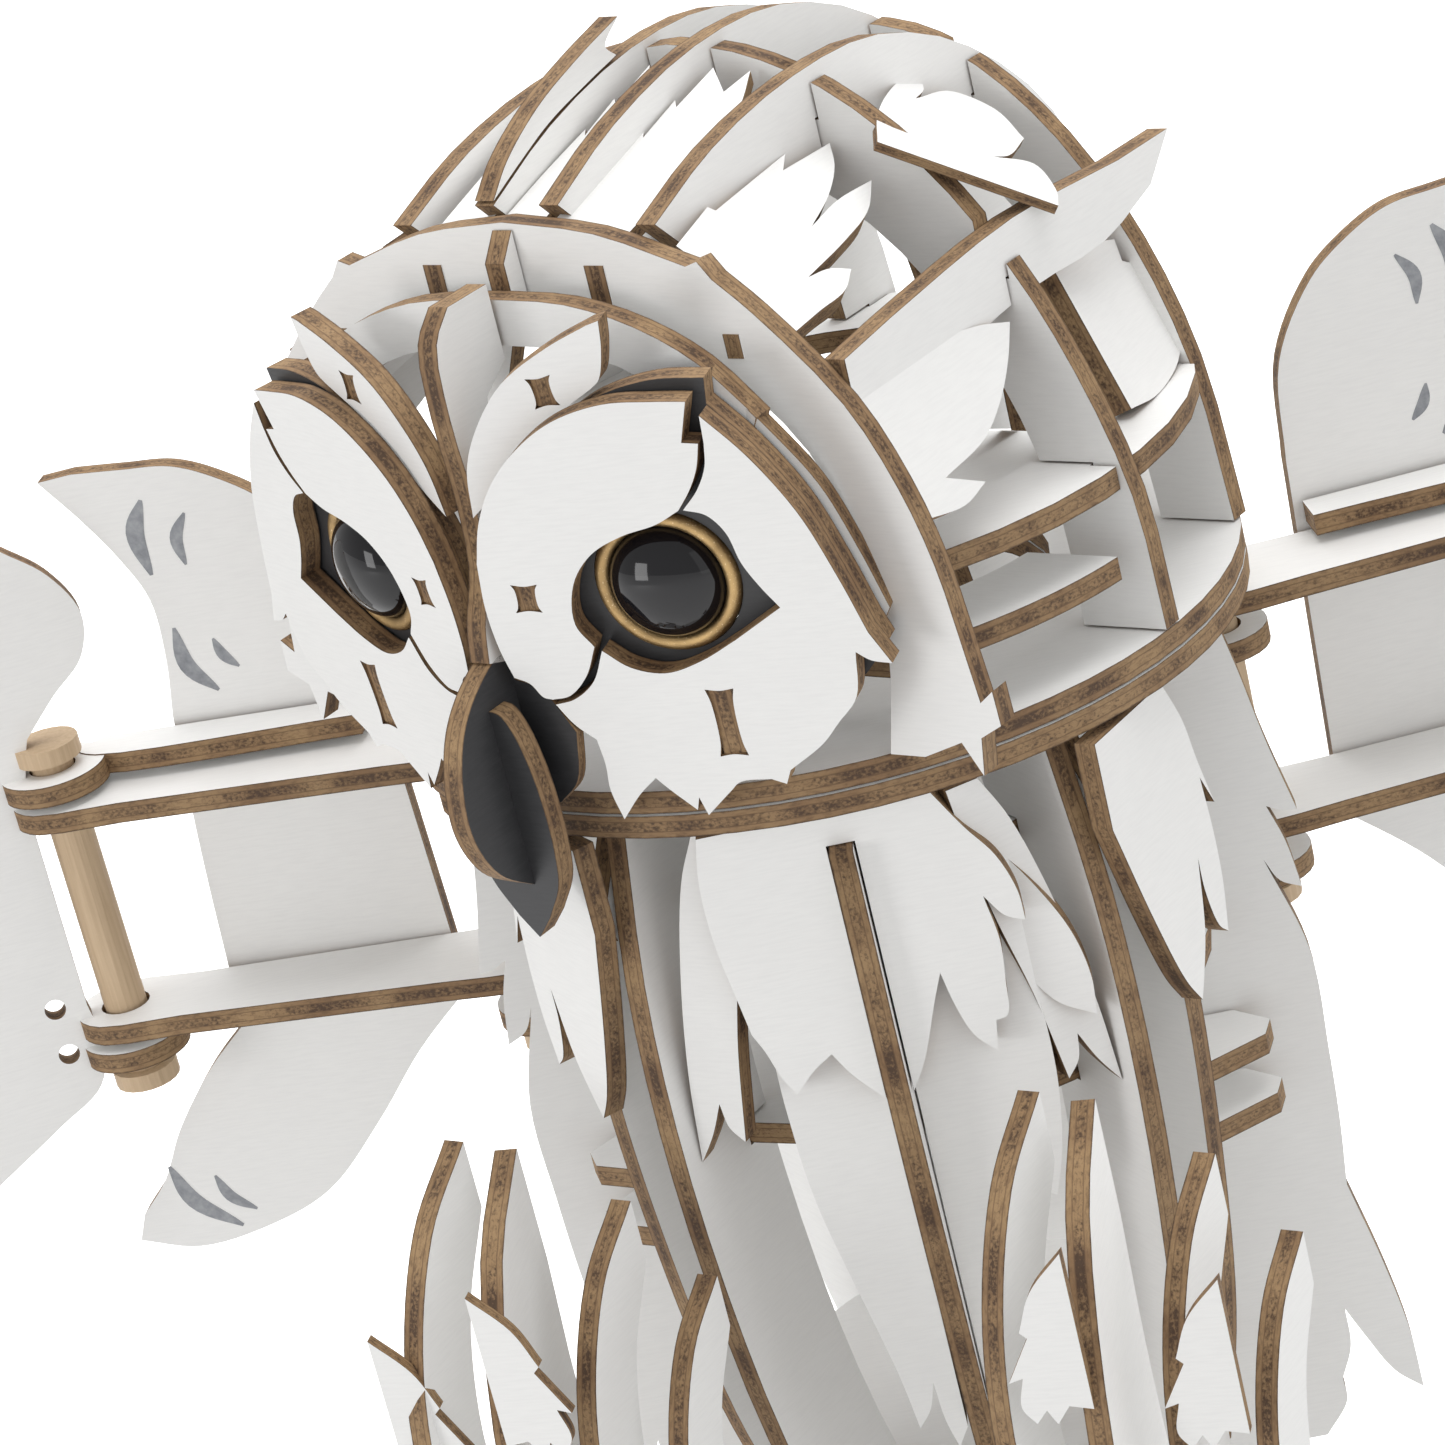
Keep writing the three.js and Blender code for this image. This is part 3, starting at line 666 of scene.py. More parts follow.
def tab(name: str, plane: Matrix, at: Point, size: Point, sink: float = TAB_SINK) -> None:
    """The end of a crossing plate, seen in its slot in a plate of the head.

    Args:
        name: the piece's name.
        plane: the slotted plate's plane.
        at: the slot's middle, across and up.
        size: thickness of the crossing plate, and its height in the slot.
        sink: how far its end lies below the plate's face; less than zero stands proud.
    """
    (u, v), (wide, tall) = at, size
    end = PLY / 2 - sink
    low, high = v - tall / 2, v + tall / 2
    shape = np.array([[end - TAB_DEPTH, low], [end, low], [end, high], [end - TAB_DEPTH, high]])
    across, up, front = (Vector(plane.col[i][:3]) for i in range(3))
    stand = placing(front, up, front.cross(up), plane.translation + across * u)
    plate(name, shape, stand, Body.HEAD, thickness=wide)


# ---- head ----------------------------------------------------------------


def dome(side: int, normal: Sequence[float], reach: float) -> Matrix:
    """A plate laid against the dome of the skull: its outline runs front to back and up towards the crown.

    Args:
        side: 1 for the viewer's right, -1 for the left.
        normal: the direction that the right-hand plate faces.
        reach: how far the plate's middle is from the middle of the neck ring.
    """
    out = Vector((side * normal[0], normal[1], normal[2])).normalized()
    back = (Vector((0, 1, 0)) - out * out.y).normalized()
    return HEAD @ placing(back, out.cross(back), out, out * (reach - PLY / 2))


def disc_plane(side: int, behind: float = 0.0) -> Matrix:
    """The plane of a face disc, or a plane behind it, with its origin at the middle of the eye opening."""
    across = Vector((0.9548, side * 0.2973, 0.0))
    front = Vector((side * 0.2968, -0.9531, -0.0593))
    up = front.cross(across)
    at = Vector((side * 22.3, -56.72, 28.0)) - front * (behind + PLY / 2)
    return HEAD @ placing(across, up, front, at)


def swept(side: int, points: np.ndarray) -> np.ndarray:
    """A dome outline for its side: the second direction changes sign on the left."""
    return points * np.array([1.0, side])


@dataclass
class Face:
    """The two face discs with their brows, slots, beak and eyes."""

    eye_at: Point = (1.9, -0.4)
    ring_radius: float = 9.1
    pupil_radius: float = 7.2
    frame_thickness: float = 2.6

    def lobe(self) -> np.ndarray:
        """The upper inner piece of a disc, over the brow and down beside the beak."""
        return outline(
            [(7.0, 9.9)],
            [(9.0, 12.3), (10.6, 15.0), (11.6, 18.0)],
            [(9.6, 18.3)],
            [(11.4, 23.3)],
            [
                (7.3, 23.7), (1.2, 24.0), (-5.5, 22.5), (-10.8, 19.5), (-15.2, 15.4), (-18.2, 10.5),
                (-19.9, 5.4),
            ],
            [(-20.5, -0.6), (-20.2, -6.0), (-19.4, -9.8)],
            [(-17.6, -10.8), (-16.4, -12.7), (-15.3, -13.1)],
            [(-13.0, -12.8), (-10.2, -10.4), (-8.1, -6.6)],
            [(-9.7, -3.5), (-8.5, 1.7), (-5.3, 5.3), (-0.9, 7.3), (3.8, 8.4), (7.0, 9.9)],
        )

    def cheek(self) -> np.ndarray:
        """The outer and lower piece of a disc, with feather tips along its lower edge."""
        return outline(
            [(12.3, 18.0)],
            [(12.6, 21.4)],
            [(16.9, 16.0), (21.2, 8.4), (24.0, 0.0), (26.0, -7.6)],
            [(28.0, -11.8)],
            [(25.5, -11.2), (23.9, -10.0)],
            [(22.6, -15.8), (19.6, -19.0), (16.9, -21.7), (12.1, -24.8)],
            [(11.2, -26.6)],
            [(9.4, -25.8)],
            [(5.5, -25.9), (3.9, -27.1), (0.3, -30.1)],
            [(-0.3, -27.6)],
            [(-0.9, -29.3)],
            [(-3.7, -26.3), (-5.1, -24.6)],
            [(-7.7, -26.7), (-10.6, -29.9)],
            [(-11.3, -25.8), (-11.0, -22.4), (-11.2, -18.9)],
            [(-13.4, -16.7), (-15.1, -13.8)],
            [(-12.5, -13.3), (-9.5, -11.2), (-7.3, -7.2)],
            [(-4.3, -9.7), (-0.1, -10.8), (4.7, -9.6), (9.7, -7.2)],
            [(16.2, -3.5)],
            [(14.4, -0.6), (12.9, 2.6), (12.0, 6.6), (10.2, 9.0), (7.6, 9.9)],
            [(9.9, 12.2), (11.6, 15.0), (12.3, 18.0)],
        )

    def backing(self) -> np.ndarray:
        """The black plate behind a disc: it shows over the brow and keeps flush down the outer side."""
        return outline(
            [(-7.4, 20.2)],
            [(-1.0, 23.5), (6.3, 25.0), (12.9, 24.6)],
            [(12.4, 21.4)],
            [(16.7, 15.9), (21.0, 8.3), (23.8, -0.1), (25.8, -7.7)],
            [(26.8, -10.6)],
            [(22.4, -15.2), (14.0, -20.4), (4.0, -23.4), (-6.0, -22.0)],
            [(-13.8, -15.2), (-18.2, -5.0), (-18.4, 4.0), (-14.2, 13.2), (-7.4, 20.2)],
        )

    def rim(self) -> np.ndarray:
        """The strip of plate behind the outer side of the backing."""
        return outline(
            [(12.2, 23.6)],
            [(17.2, 16.4), (21.8, 8.6), (24.6, 0.0), (26.6, -8.0)],
            [(25.0, -10.4)],
            [(22.0, -2.0), (18.0, 7.0), (10.0, 18.0)],
        )

    def brow(self) -> np.ndarray:
        """The pointed leaf over the inner end of the brow."""
        return outline(
            [(-20.3, 9.9)],
            [(-19.3, 16.1), (-16.7, 21.1), (-12.0, 26.4), (-5.1, 30.3), (0.5, 32.5)],
            [(2.1, 32.9)],
            [(1.5, 29.3), (0.2, 25.7), (-1.2, 24.6)],
            [(-5.6, 22.2), (-11.7, 18.2), (-16.0, 13.4), (-20.3, 9.9)],
        )

    def pinched(self, u: float, v: float, wide: float, tall: float, turn: float = 0.0) -> np.ndarray:
        """A slot with its sides drawn in, as the laser leaves it.

        Args:
            u: the slot's middle, across.
            v: the slot's middle, up.
            wide: its width at the ends.
            tall: its height.
            turn: degrees that it is turned.
        """
        w, h, pinch = wide / 2, tall / 2, 0.4
        hole = outline(
            [(w, -h)],
            [(w - pinch, -h * 0.6), (w - pinch, h * 0.6), (w, h)],
            [(0, h - pinch * 0.6), (-w, h)],
            [(-w + pinch, h * 0.6), (-w + pinch, -h * 0.6), (-w, -h)],
            [(0, -h + pinch * 0.6), (w, -h)],
        )
        a = math.radians(turn)
        spin = np.array([[math.cos(a), math.sin(a)], [-math.sin(a), math.cos(a)]])
        return hole @ spin + np.array([u, v])

    def disc(self, name: str, side: int) -> None:
        """A face disc of two pieces, parted by a wandering saw line, with its crossing plates' slots."""
        plane = disc_plane(side)
        square = self.pinched(-14.9, 0.4, 3.4, 3.7, -4)
        tall = self.pinched(5.8, -17.9, 3.6, 9.0, -2)
        parts = [
            slab_mesh(f"{part}_{name}", sided(side, points), plane, holes=[sided(side, hole)])
            for part, points, hole in (("lobe", self.lobe(), square), ("cheek", self.cheek(), tall))
        ]
        present(joined(f"face_disc_{name}_ply", parts), WHITE, Body.HEAD, f"face_disc_{name}")
        tab(f"face_disc_tab_inner_{name}", plane, (side * -14.9, 0.4), (2.9, 3.4))
        tab(f"face_disc_tab_outer_{name}", plane, (side * 5.8, -17.9), (3.1, 8.6))

    def plates_behind(self, name: str, side: int) -> None:
        """The black backing, the third ply plate behind it and the raised brow leaf."""
        eye = ring_of(self.ring_radius + 0.05, 40, side * self.eye_at[0], self.eye_at[1])
        behind = disc_plane(side, LAYER)
        plate(
            f"face_backing_{name}_ply", sided(side, self.backing()), behind, Body.HEAD, f"face_backing_{name}",
            finish=BLACK, holes=[eye],
        )
        rim, last = sided(side, self.rim()), disc_plane(side, 2 * LAYER)
        plate(f"face_frame_{name}", rim, last, Body.HEAD, thickness=self.frame_thickness)
        hole = self.pinched(-7.1, 24.9, 3.3, 3.9, 4)
        plate(
            f"brow_plate_{name}_ply", sided(side, self.brow()), behind, Body.HEAD, f"brow_plate_{name}",
            holes=[sided(side, hole)],
        )
        tab(f"brow_tab_{name}", behind, (side * -7.1, 24.9), (2.7, 3.6))

    def eye(self, name: str, side: int) -> None:
        """A round brass ring with a rolled edge, and the polished dome inside it."""
        plane = disc_plane(side, 0.0) @ Matrix.Translation((side * self.eye_at[0], self.eye_at[1], 0.0))
        r, p, foot = self.ring_radius, self.pupil_radius, -5.0
        bead = p + 0.9
        turns = np.linspace(-0.6, math.pi + 0.9, 22)
        roll = [(bead + 0.95 * math.cos(a), -1.9 + 0.95 * math.sin(a)) for a in turns]
        ring = revolve(f"eye_ring_{name}_brass", [(r, foot), (r - 0.1, -2.6), *roll, (p, foot)], plane)
        present(ring, BRASS, Body.HEAD, f"eye_ring_{name}")
        rise, low = 2.3, -2.2
        lifts = np.linspace(0.0, math.pi / 2 - 0.001, 24)
        bowl = [(p * math.cos(a), low + (rise - low) * math.sin(a)) for a in lifts]
        dome_mesh = revolve(f"eye_dome_{name}_gloss", [(p, foot), *bowl], plane)
        present(dome_mesh, GLOSS, Body.HEAD, f"eye_dome_{name}")

    def beak(self) -> None:
        """The beak: an upright hook, a leaf that crosses it, and the plate behind them."""
        hook = outline(
            [(-58.4, 19.6)],
            [
                (-61.0, 20.7), (-66.2, 18.5), (-70.4, 14.6), (-73.0, 8.6), (-73.4, 2.2), (-70.7, -3.8),
                (-64.4, -8.6),
            ],
            [(-63.0, -4.0), (-61.4, 2.0)],
            [(-58.4, 6.0)],
        )
        plate("beak_hook_ply", hook, HEAD @ lengthwise(0), Body.HEAD, "beak_hook", finish=BLACK)
        leaf = outline(
            [(0.0, 15.4)],
            [(2.9, 14.9), (4.3, 12.8), (5.6, 7.8), (6.1, 2.4), (6.0, -3.0), (5.2, -7.7), (2.4, -12.4)],
            [(0.0, -15.2)],
        )
        cheeks = ("beak_cheek_left", "beak_cheek_right")
        plate("beak_leaf_ply", mirrored(leaf), HEAD @ facing(-64.0), Body.HEAD, *cheeks, finish=BLACK)
        shape = outline(
            [(0.0, 19.9)],
            [(1.3, 19.6), (1.8, 17.0)],
            [(5.7, 15.8), (9.4, 10.5)],
            [(7.6, 4.0), (4.1, 0.8)],
            [(0.0, 0.0)],
        )
        plate("beak_back_plate", mirrored(shape), HEAD @ facing(-59.4), Body.HEAD, finish=BLACK, thickness=1.4)

    def build(self) -> None:
        """Build both sides and the beak."""
        for name, side in SIDES:
            self.disc(name, side)
            self.plates_behind(name, side)
            self.eye(name, side)
        self.beak()


@dataclass
class Crown:
    """The feather plates between the ribs of the skull, its lower shelf and its tabs."""

    shelf_z: float = 10.0
    shelf_radius: float = 54.0
    shelf_depth: float = 13.0

    def three_tips(self) -> np.ndarray:
        """The big feather between the middle and the outer rib."""
        return outline(
            [(-37.2, 18.8)],
            [(-28.0, 21.0)],
            [(-27.6, 20.0)],
            [(-11.0, 21.6)],
            [(-13.9, 19.8)],
            [(-4.2, 19.6)],
            [(-7.3, 16.6), (-12.8, 13.6), (-19.5, 11.3)],
            [(-12.3, 12.4), (-5.4, 12.2)],
            [(-10.7, 9.0), (-18.0, 7.3), (-27.7, 5.9)],
            [(-24.0, 5.3), (-21.7, 3.7)],
            [(-25.7, 1.8), (-31.4, 1.4), (-37.2, 0.9)],
        )

    def below_rib(self) -> np.ndarray:
        """The feather under the outer rib."""
        return outline(
            [(-37.2, 29.0)],
            [(-17.4, 29.0), (-12.5, 28.2)],
            [(-13.0, 26.3), (-15.7, 25.1)],
            [(-11.0, 24.1), (-6.0, 22.4)],
            [(-9.7, 18.8), (-14.5, 15.4), (-20.4, 12.8), (-29.8, 11.8)],
            [(-24.0, 8.6)],
            [(-29.1, 7.8), (-37.2, 9.4)],
        )

    def behind_cross(self) -> np.ndarray:
        """The jagged feather on the back of the skull."""
        return outline(
            [(-30.7, 6.2)],
            [(-21.3, 11.5), (-8.2, 16.4), (1.7, 18.5)],
            [(-2.8, 14.8), (-8.1, 13.1)],
            [(2.7, 13.1), (5.3, 8.3), (0.9, 1.3)],
            [(-8.5, -1.3), (-12.0, -0.9)],
            [(-6.0, -3.8), (-10.1, -9.2), (-15.4, -12.4)],
        )

    def side_lobe(self) -> np.ndarray:
        """The round feather low behind the cross plate."""
        return outline(
            [(-0.4, 28.0)],
            [(4.0, 28.2), (8.0, 29.0)],
            [(8.6, 26.4)],
            [(13.2, 26.6)],
            [(12.4, 23.6)],
            [(17.6, 22.4)],
            [(16.6, 19.6)],
            [(20.6, 17.4), (23.2, 13.6)],
            [(20.0, 12.8)],
            [(22.4, 9.6), (18.0, 5.6), (8.0, 3.6), (-0.4, 4.4)],
        )

    def crest(self) -> np.ndarray:
        """The pointed feather that stands along an inner rib."""
        return outline(
            [(-37.0, 68.9)],
            [(-33.0, 72.4), (-25.4, 76.4), (-16.0, 79.4), (-7.0, 81.6)],
            [(-10.6, 79.0), (-9.0, 77.3)],
            [(-16.0, 75.9), (-24.0, 74.0), (-31.0, 71.4), (-37.0, 68.9)],
        )

    def leaf(self, near: float, far: float) -> np.ndarray:
        """A jagged leaf between two ribs, from its near side to its far side."""
        mid = (near + far) / 2
        return outline(
            [(near, -37.2)],
            [(near, -27.0), (near + 0.4, -19.0)],
            [(near + 1.2, -20.4)],
            [(near + 0.7, -12.6)],
            [(near + 1.7, -13.8)],
            [(near + 1.6, -5.4)],
            [(mid + 0.6, -9.4)],
            [(mid + 1.4, -4.6)],
            [(far - 0.8, -12.0), (far, -22.0), (far, -37.2)],
        )

    def tangent(self, side: int, at: Sequence[float], slope_x: float, slope_y: float) -> Matrix:
        """A plate that touches the dome over one point; its outline is measured as seen from above."""
        across = Vector((1.0, 0.0, side * slope_x)).normalized()
        out = Vector((-side * slope_x, -slope_y, 1.0)).normalized()
        return HEAD @ placing(across, out.cross(across), out, at)

    def feathers(self, name: str, side: int) -> None:
        """The feather plates of one side."""
        for part, points, normal, reach, thickness in (
            ("front", self.three_tips(), (0.59, 0, 0.81), 64.6, PLY),
            ("low", self.below_rib(), (0.93, 0, 0.365), 56.5, PLY),
            ("rear", self.behind_cross(), (0.5, 0.3, 0.81), 68.0, 1.2),
            ("lobe", self.side_lobe(), (0.93, 0.2, 0.365), 54.0, PLY),
        ):
            plane = dome(side, normal, reach)
            plate(f"crown_feather_{part}_{name}", swept(side, points), plane, Body.HEAD, thickness=thickness)
        between = self.leaf(6.8, 17.2)
        plane = self.tangent(side, (0, 0, 76.2), -0.20, 0.27)
        plate(f"crown_leaf_{name}", sided(side, between), plane, Body.HEAD, thickness=2.0)

    def shelf(self, name: str, side: int) -> None:
        """The lower shelf between the arch and the cross plate."""
        front, rear, steps = -36.8, -7.0, 14
        hollow = self.shelf_radius - self.shelf_depth
        outer = [(math.sqrt(self.shelf_radius**2 - y * y), y) for y in np.linspace(front, rear, steps)]
        inner = [(math.sqrt(hollow**2 - y * y), y) for y in np.linspace(rear, front, steps)]
        points = sided(side, np.array([*outer, *inner]))
        plate(f"head_shelf_{name}", points, HEAD @ level(self.shelf_z), Body.HEAD)

    def build(self) -> None:
        """Build both sides, the middle leaf, the forehead brace and the arch's tabs."""
        arch = HEAD @ facing(-39)
        for name, side in SIDES:
            self.feathers(name, side)
            self.shelf(name, side)
            tab(f"arch_tab_{name}", arch, (side * 12.6, 59.4), (3.0, 5.4), -TAB_PROUD)
            tab(f"arch_tab_low_{name}", arch, (side * 30.6, 52.2), (2.4, 3.0), -TAB_PROUD)
        middle = self.tangent(1, (0, 0, 75.2), 0.0, 0.27)
        plate("crown_leaf_middle", self.leaf(-3.2, 3.2), middle, Body.HEAD, thickness=2.0)
        plate("crown_crest", self.crest(), HEAD @ lengthwise(-5), Body.HEAD)
        brace = outline([(-40.7, 66.6)], [(-43.4, 63.4)], [(-43.4, 55.0)], [(-40.7, 55.0)])
        plate("forehead_brace", brace, HEAD @ lengthwise(0), Body.HEAD)


# ---- torso ---------------------------------------------------------------


@dataclass
class Torso:
    """The chest feathers, the feathers of the flanks and sides, and the short inner shelves."""

    chest_y: float = -50.2
    keel_slot: float = PLY / 2 + GAP
    top: float = -7.4

    def upper_bib(self) -> np.ndarray:
        """The upper layer of chest feathers, with the keel's slot."""
        s = self.keel_slot
        return outline(
            [(s, -46.4)],
            [(3.9, -42.6), (6.8, -34.8), (8.2, -31.3)],
            [(9.1, -36.0), (10.6, -40.5), (13.0, -43.2)],
            [(13.6, -39.1)],
            [(15.1, -38.7), (15.8, -34.0), (16.2, -28.5), (15.4, -22.3)],
            [(17.5, -25.4), (19.8, -26.5)],
            [(19.6, -22.4), (17.9, -17.2), (15.0, -12.8), (11.9, self.top)],
            [(-16.9, self.top)],
            [(-17.8, -12.7), (-18.0, -17.4), (-17.7, -23.0), (-16.9, -28.8), (-16.1, -34.6)],
            [(-15.0, -37.2), (-13.7, -41.4), (-12.4, -43.8)],
            [(-9.6, -41.0), (-7.1, -39.3)],
            [(-5.2, -42.6), (-s, -46.8)],
            [(-s, -11.7)],
            [(s, -11.7)],
        )

    def lower_bib(self) -> np.ndarray:
        """The lower layer, longer and broader."""
        s = self.keel_slot
        return outline(
            [(s, -97.0)],
            [(5.0, -95.0), (8.6, -86.0), (11.3, -74.0), (12.4, -62.0)],
            [(13.8, -64.9), (16.0, -66.4)],
            [(17.8, -60.3), (19.2, -50.5), (19.3, -42.0), (19.0, -36.8)],
            [(21.5, -40.1), (25.7, -42.6)],
            [(26.0, -37.2), (24.7, -30.6), (21.2, -23.0), (16.7, -15.8)],
            [(13.0, self.top)],
            [(-15.0, self.top)],
            [(-15.4, -24.0), (-14.6, -38.8)],
            [(-14.6, -47.5), (-13.8, -60.5), (-11.5, -73.6), (-8.8, -88.0), (-7.8, -96.0)],
            [(-6.0, -93.6), (-4.8, -89.6)],
            [(-4.4, -95.4), (-3.4, -99.8)],
            [(-s, -97.0)],
            [(-s, -11.7)],
            [(s, -11.7)],
        )

    def flank_feather(self) -> np.ndarray:
        """The feather that hangs outside a flank rib."""
        return outline(
            [(-22.4, -7.4)],
            [(-5.5, -7.4)],
            [(-2.5, -13.8), (-1.0, -20.1), (1.0, -26.9)],
            [(-1.2, -22.4)],
            [(-0.6, -30.0), (-0.7, -37.0), (-1.8, -43.8)],
            [(-3.6, -42.0), (-5.2, -36.2), (-5.3, -31.6)],
            [(-7.0, -40.8), (-9.3, -46.1), (-10.8, -48.8)],
            [(-13.5, -44.6), (-17.5, -34.3), (-22.4, -19.0)],
        )

    def inner_feather(self) -> np.ndarray:
        """The narrow feather between the chest and a flank rib."""
        return outline(
            [(-5.6, -8.0)],
            [(-2.6, -14.5), (0.8, -27.2), (3.4, -41.6), (4.6, -54.2)],
            [(2.0, -50.0), (0.0, -45.6)],
            [(-0.6, -49.0), (-2.4, -51.0)],
            [(-4.6, -38.0), (-7.8, -24.0), (-10.0, -8.0)],
        )

    def side_plate(self) -> np.ndarray:
        """The broad plate at the owl's side, with feather tips and a flared end."""
        return outline(
            [(48.6, -7.2)],
            [(51.3, -20.1), (53.3, -31.8), (55.6, -42.5)],
            [(53.6, -42.2), (51.7, -41.2)],
            [(53.3, -46.6), (54.3, -53.7)],
            [(51.6, -52.2), (50.0, -48.8)],
            [(53.7, -63.2), (53.6, -78.5), (53.2, -89.4), (52.4, -99.4)],
            [(55.3, -112.9), (57.0, -123.8), (57.4, -133.2)],
            [(53.9, -129.7), (50.8, -123.3), (48.8, -118.6)],
            [(48.6, -124.5), (46.6, -129.5)],
            [(46.6, -133.1), (43.0, -138.0)],
            [(20.0, -138.0)],
            [(26.0, -120.0), (31.6, -98.0), (35.6, -72.0), (36.6, -48.0), (35.0, -28.0), (31.0, -7.2)],
        )

    def side(self, name: str, side: int) -> None:
        """The feathers, the side plate and the short shelves of one side."""
        plane = TORSO @ facing(0)
        plate(f"side_rib_{name}_ply", sided(side, self.side_plate()), plane, Body.TORSO, f"side_rib_{name}")
        for part, points, angle, radius in (
            ("flank", self.flank_feather(), 57, 51.6),
            ("inner", self.inner_feather(), 26, 50.4),
        ):
            plane = TORSO @ wrapped(side * angle, radius)
            plate(f"{part}_feather_{name}", sided(side, points), plane, Body.TORSO)
        rib = outline(
            [(38.0, -19.0)],
            [(49.0, -19.0)],
            [(50.6, -30.0), (51.2, -48.0), (49.6, -72.0), (46.0, -98.0), (40.0, -120.0)],
            [(31.0, -120.0)],
            [(36.0, -98.0), (39.6, -72.0), (41.0, -48.0), (40.0, -30.0), (38.0, -19.0)],
        )
        plate(f"flank_second_rib_{name}", rib, TORSO @ radial(side * 47), Body.TORSO)
        for index, z in enumerate((-71.0, -80.0)):
            shelf = outline([(36.5, -2.0)], [(36.5, -16.0)], [(45.6, -10.6)], [(46.6, -6.6)], [(42.0, -2.0)])
            plate(f"side_shelf_{index}_{name}", sided(side, shelf), TORSO @ level(z), Body.TORSO)
        prop = outline([(42.0, -7.2)], [(46.0, -7.2)], [(53.0, -19.0)], [(52.0, -23.0)], [(49.4, -20.0)])
        plate(f"ring_prop_{name}", prop, TORSO @ radial(side * 37.5), Body.TORSO)

    def build(self) -> None:
        """Build the chest and both sides."""
        for node, points, y in (
            ("bib_upper", self.upper_bib(), self.chest_y),
            ("bib_lower", self.lower_bib(), self.chest_y + LAYER),
        ):
            plate(f"{node}_ply", points, TORSO @ facing(y), Body.TORSO, node)
        for name, side in SIDES:
            self.side(name, side)


# ---- legs ----------------------------------------------------------------


@dataclass
class Legs:
    """The outermost thigh rib and the feather pads low on each thigh."""

    leg_x: float = 37.0
    fan: float = -18.0
    fan_y: float = -62.0

    def thigh(self, scale: float, lift: float) -> np.ndarray:
        """The crescent of a thigh rib, drawn smaller by a scale and raised by a lift."""
        edge = [(-61, -46), (-72, -54), (-81, -70), (-84, -90), (-80, -110), (-70, -126)]
        inner = [(-66, -118), (-72, -100), (-73, -84), (-69, -68), (-61, -56)]
        at = [((y + 60) * scale - 60, RING_Z + lift + z * scale - 60 * (1 - scale)) for y, z in edge + inner]
        return outline([at[0]], at[1:6], at[6:])

    def pad(self) -> np.ndarray:
        """A jagged feather pad, with heights below the neck ring."""
        return outline(
            [(36.9, -50.5)],
            [(32.3, -55.5), (30.0, -60.8)],
            [(30.8, -61.6)],
            [(27.4, -67.6)],
            [(29.2, -67.0)],
            [(28.3, -71.1), (29.7, -73.4)],
            [(31.2, -71.6)],
            [(32.2, -73.6)],
            [(34.0, -71.2)],
            [(36.9, -71.8)],
        )

    def fanned(self, x: float) -> Matrix:
        """The plane of a thigh rib, fanned round the thigh so that its rounded front leans inwards."""
        there, back = Matrix.Translation((x, self.fan_y, 0)), Matrix.Translation((0, -self.fan_y, 0))
        stand = there @ turn_z(self.fan) @ back
        return LEGS @ stand @ lengthwise(0)

    def build(self) -> None:
        """Build both legs."""
        for name, side in SIDES:
            for part, reach, scale, lift in (("inner", -6.5, 0.94, 5.0), ("outer", 13.0, 0.84, -4.0)):
                plane = self.fanned(side * self.leg_x + reach)
                node = f"thigh_rib_{part}_{name}"
                plate(f"{node}_ply", self.thigh(scale, lift), plane, Body.TORSO, node)
            last = self.fanned(side * self.leg_x + 21.5)
            plate(f"thigh_rib_last_{name}", self.thigh(0.72, -14.0), last, Body.TORSO)
            for index, (x, z, y) in enumerate(((0.0, 0.0, -84.0), (16.5, -8.0, -79.0))):
                plane = LEGS @ facing(y, side * x, RING_Z + z)
                plate(f"thigh_pad_{index}_{name}", sided(side, self.pad()), plane, Body.TORSO, thickness=1.6)


# ---- wings ---------------------------------------------------------------


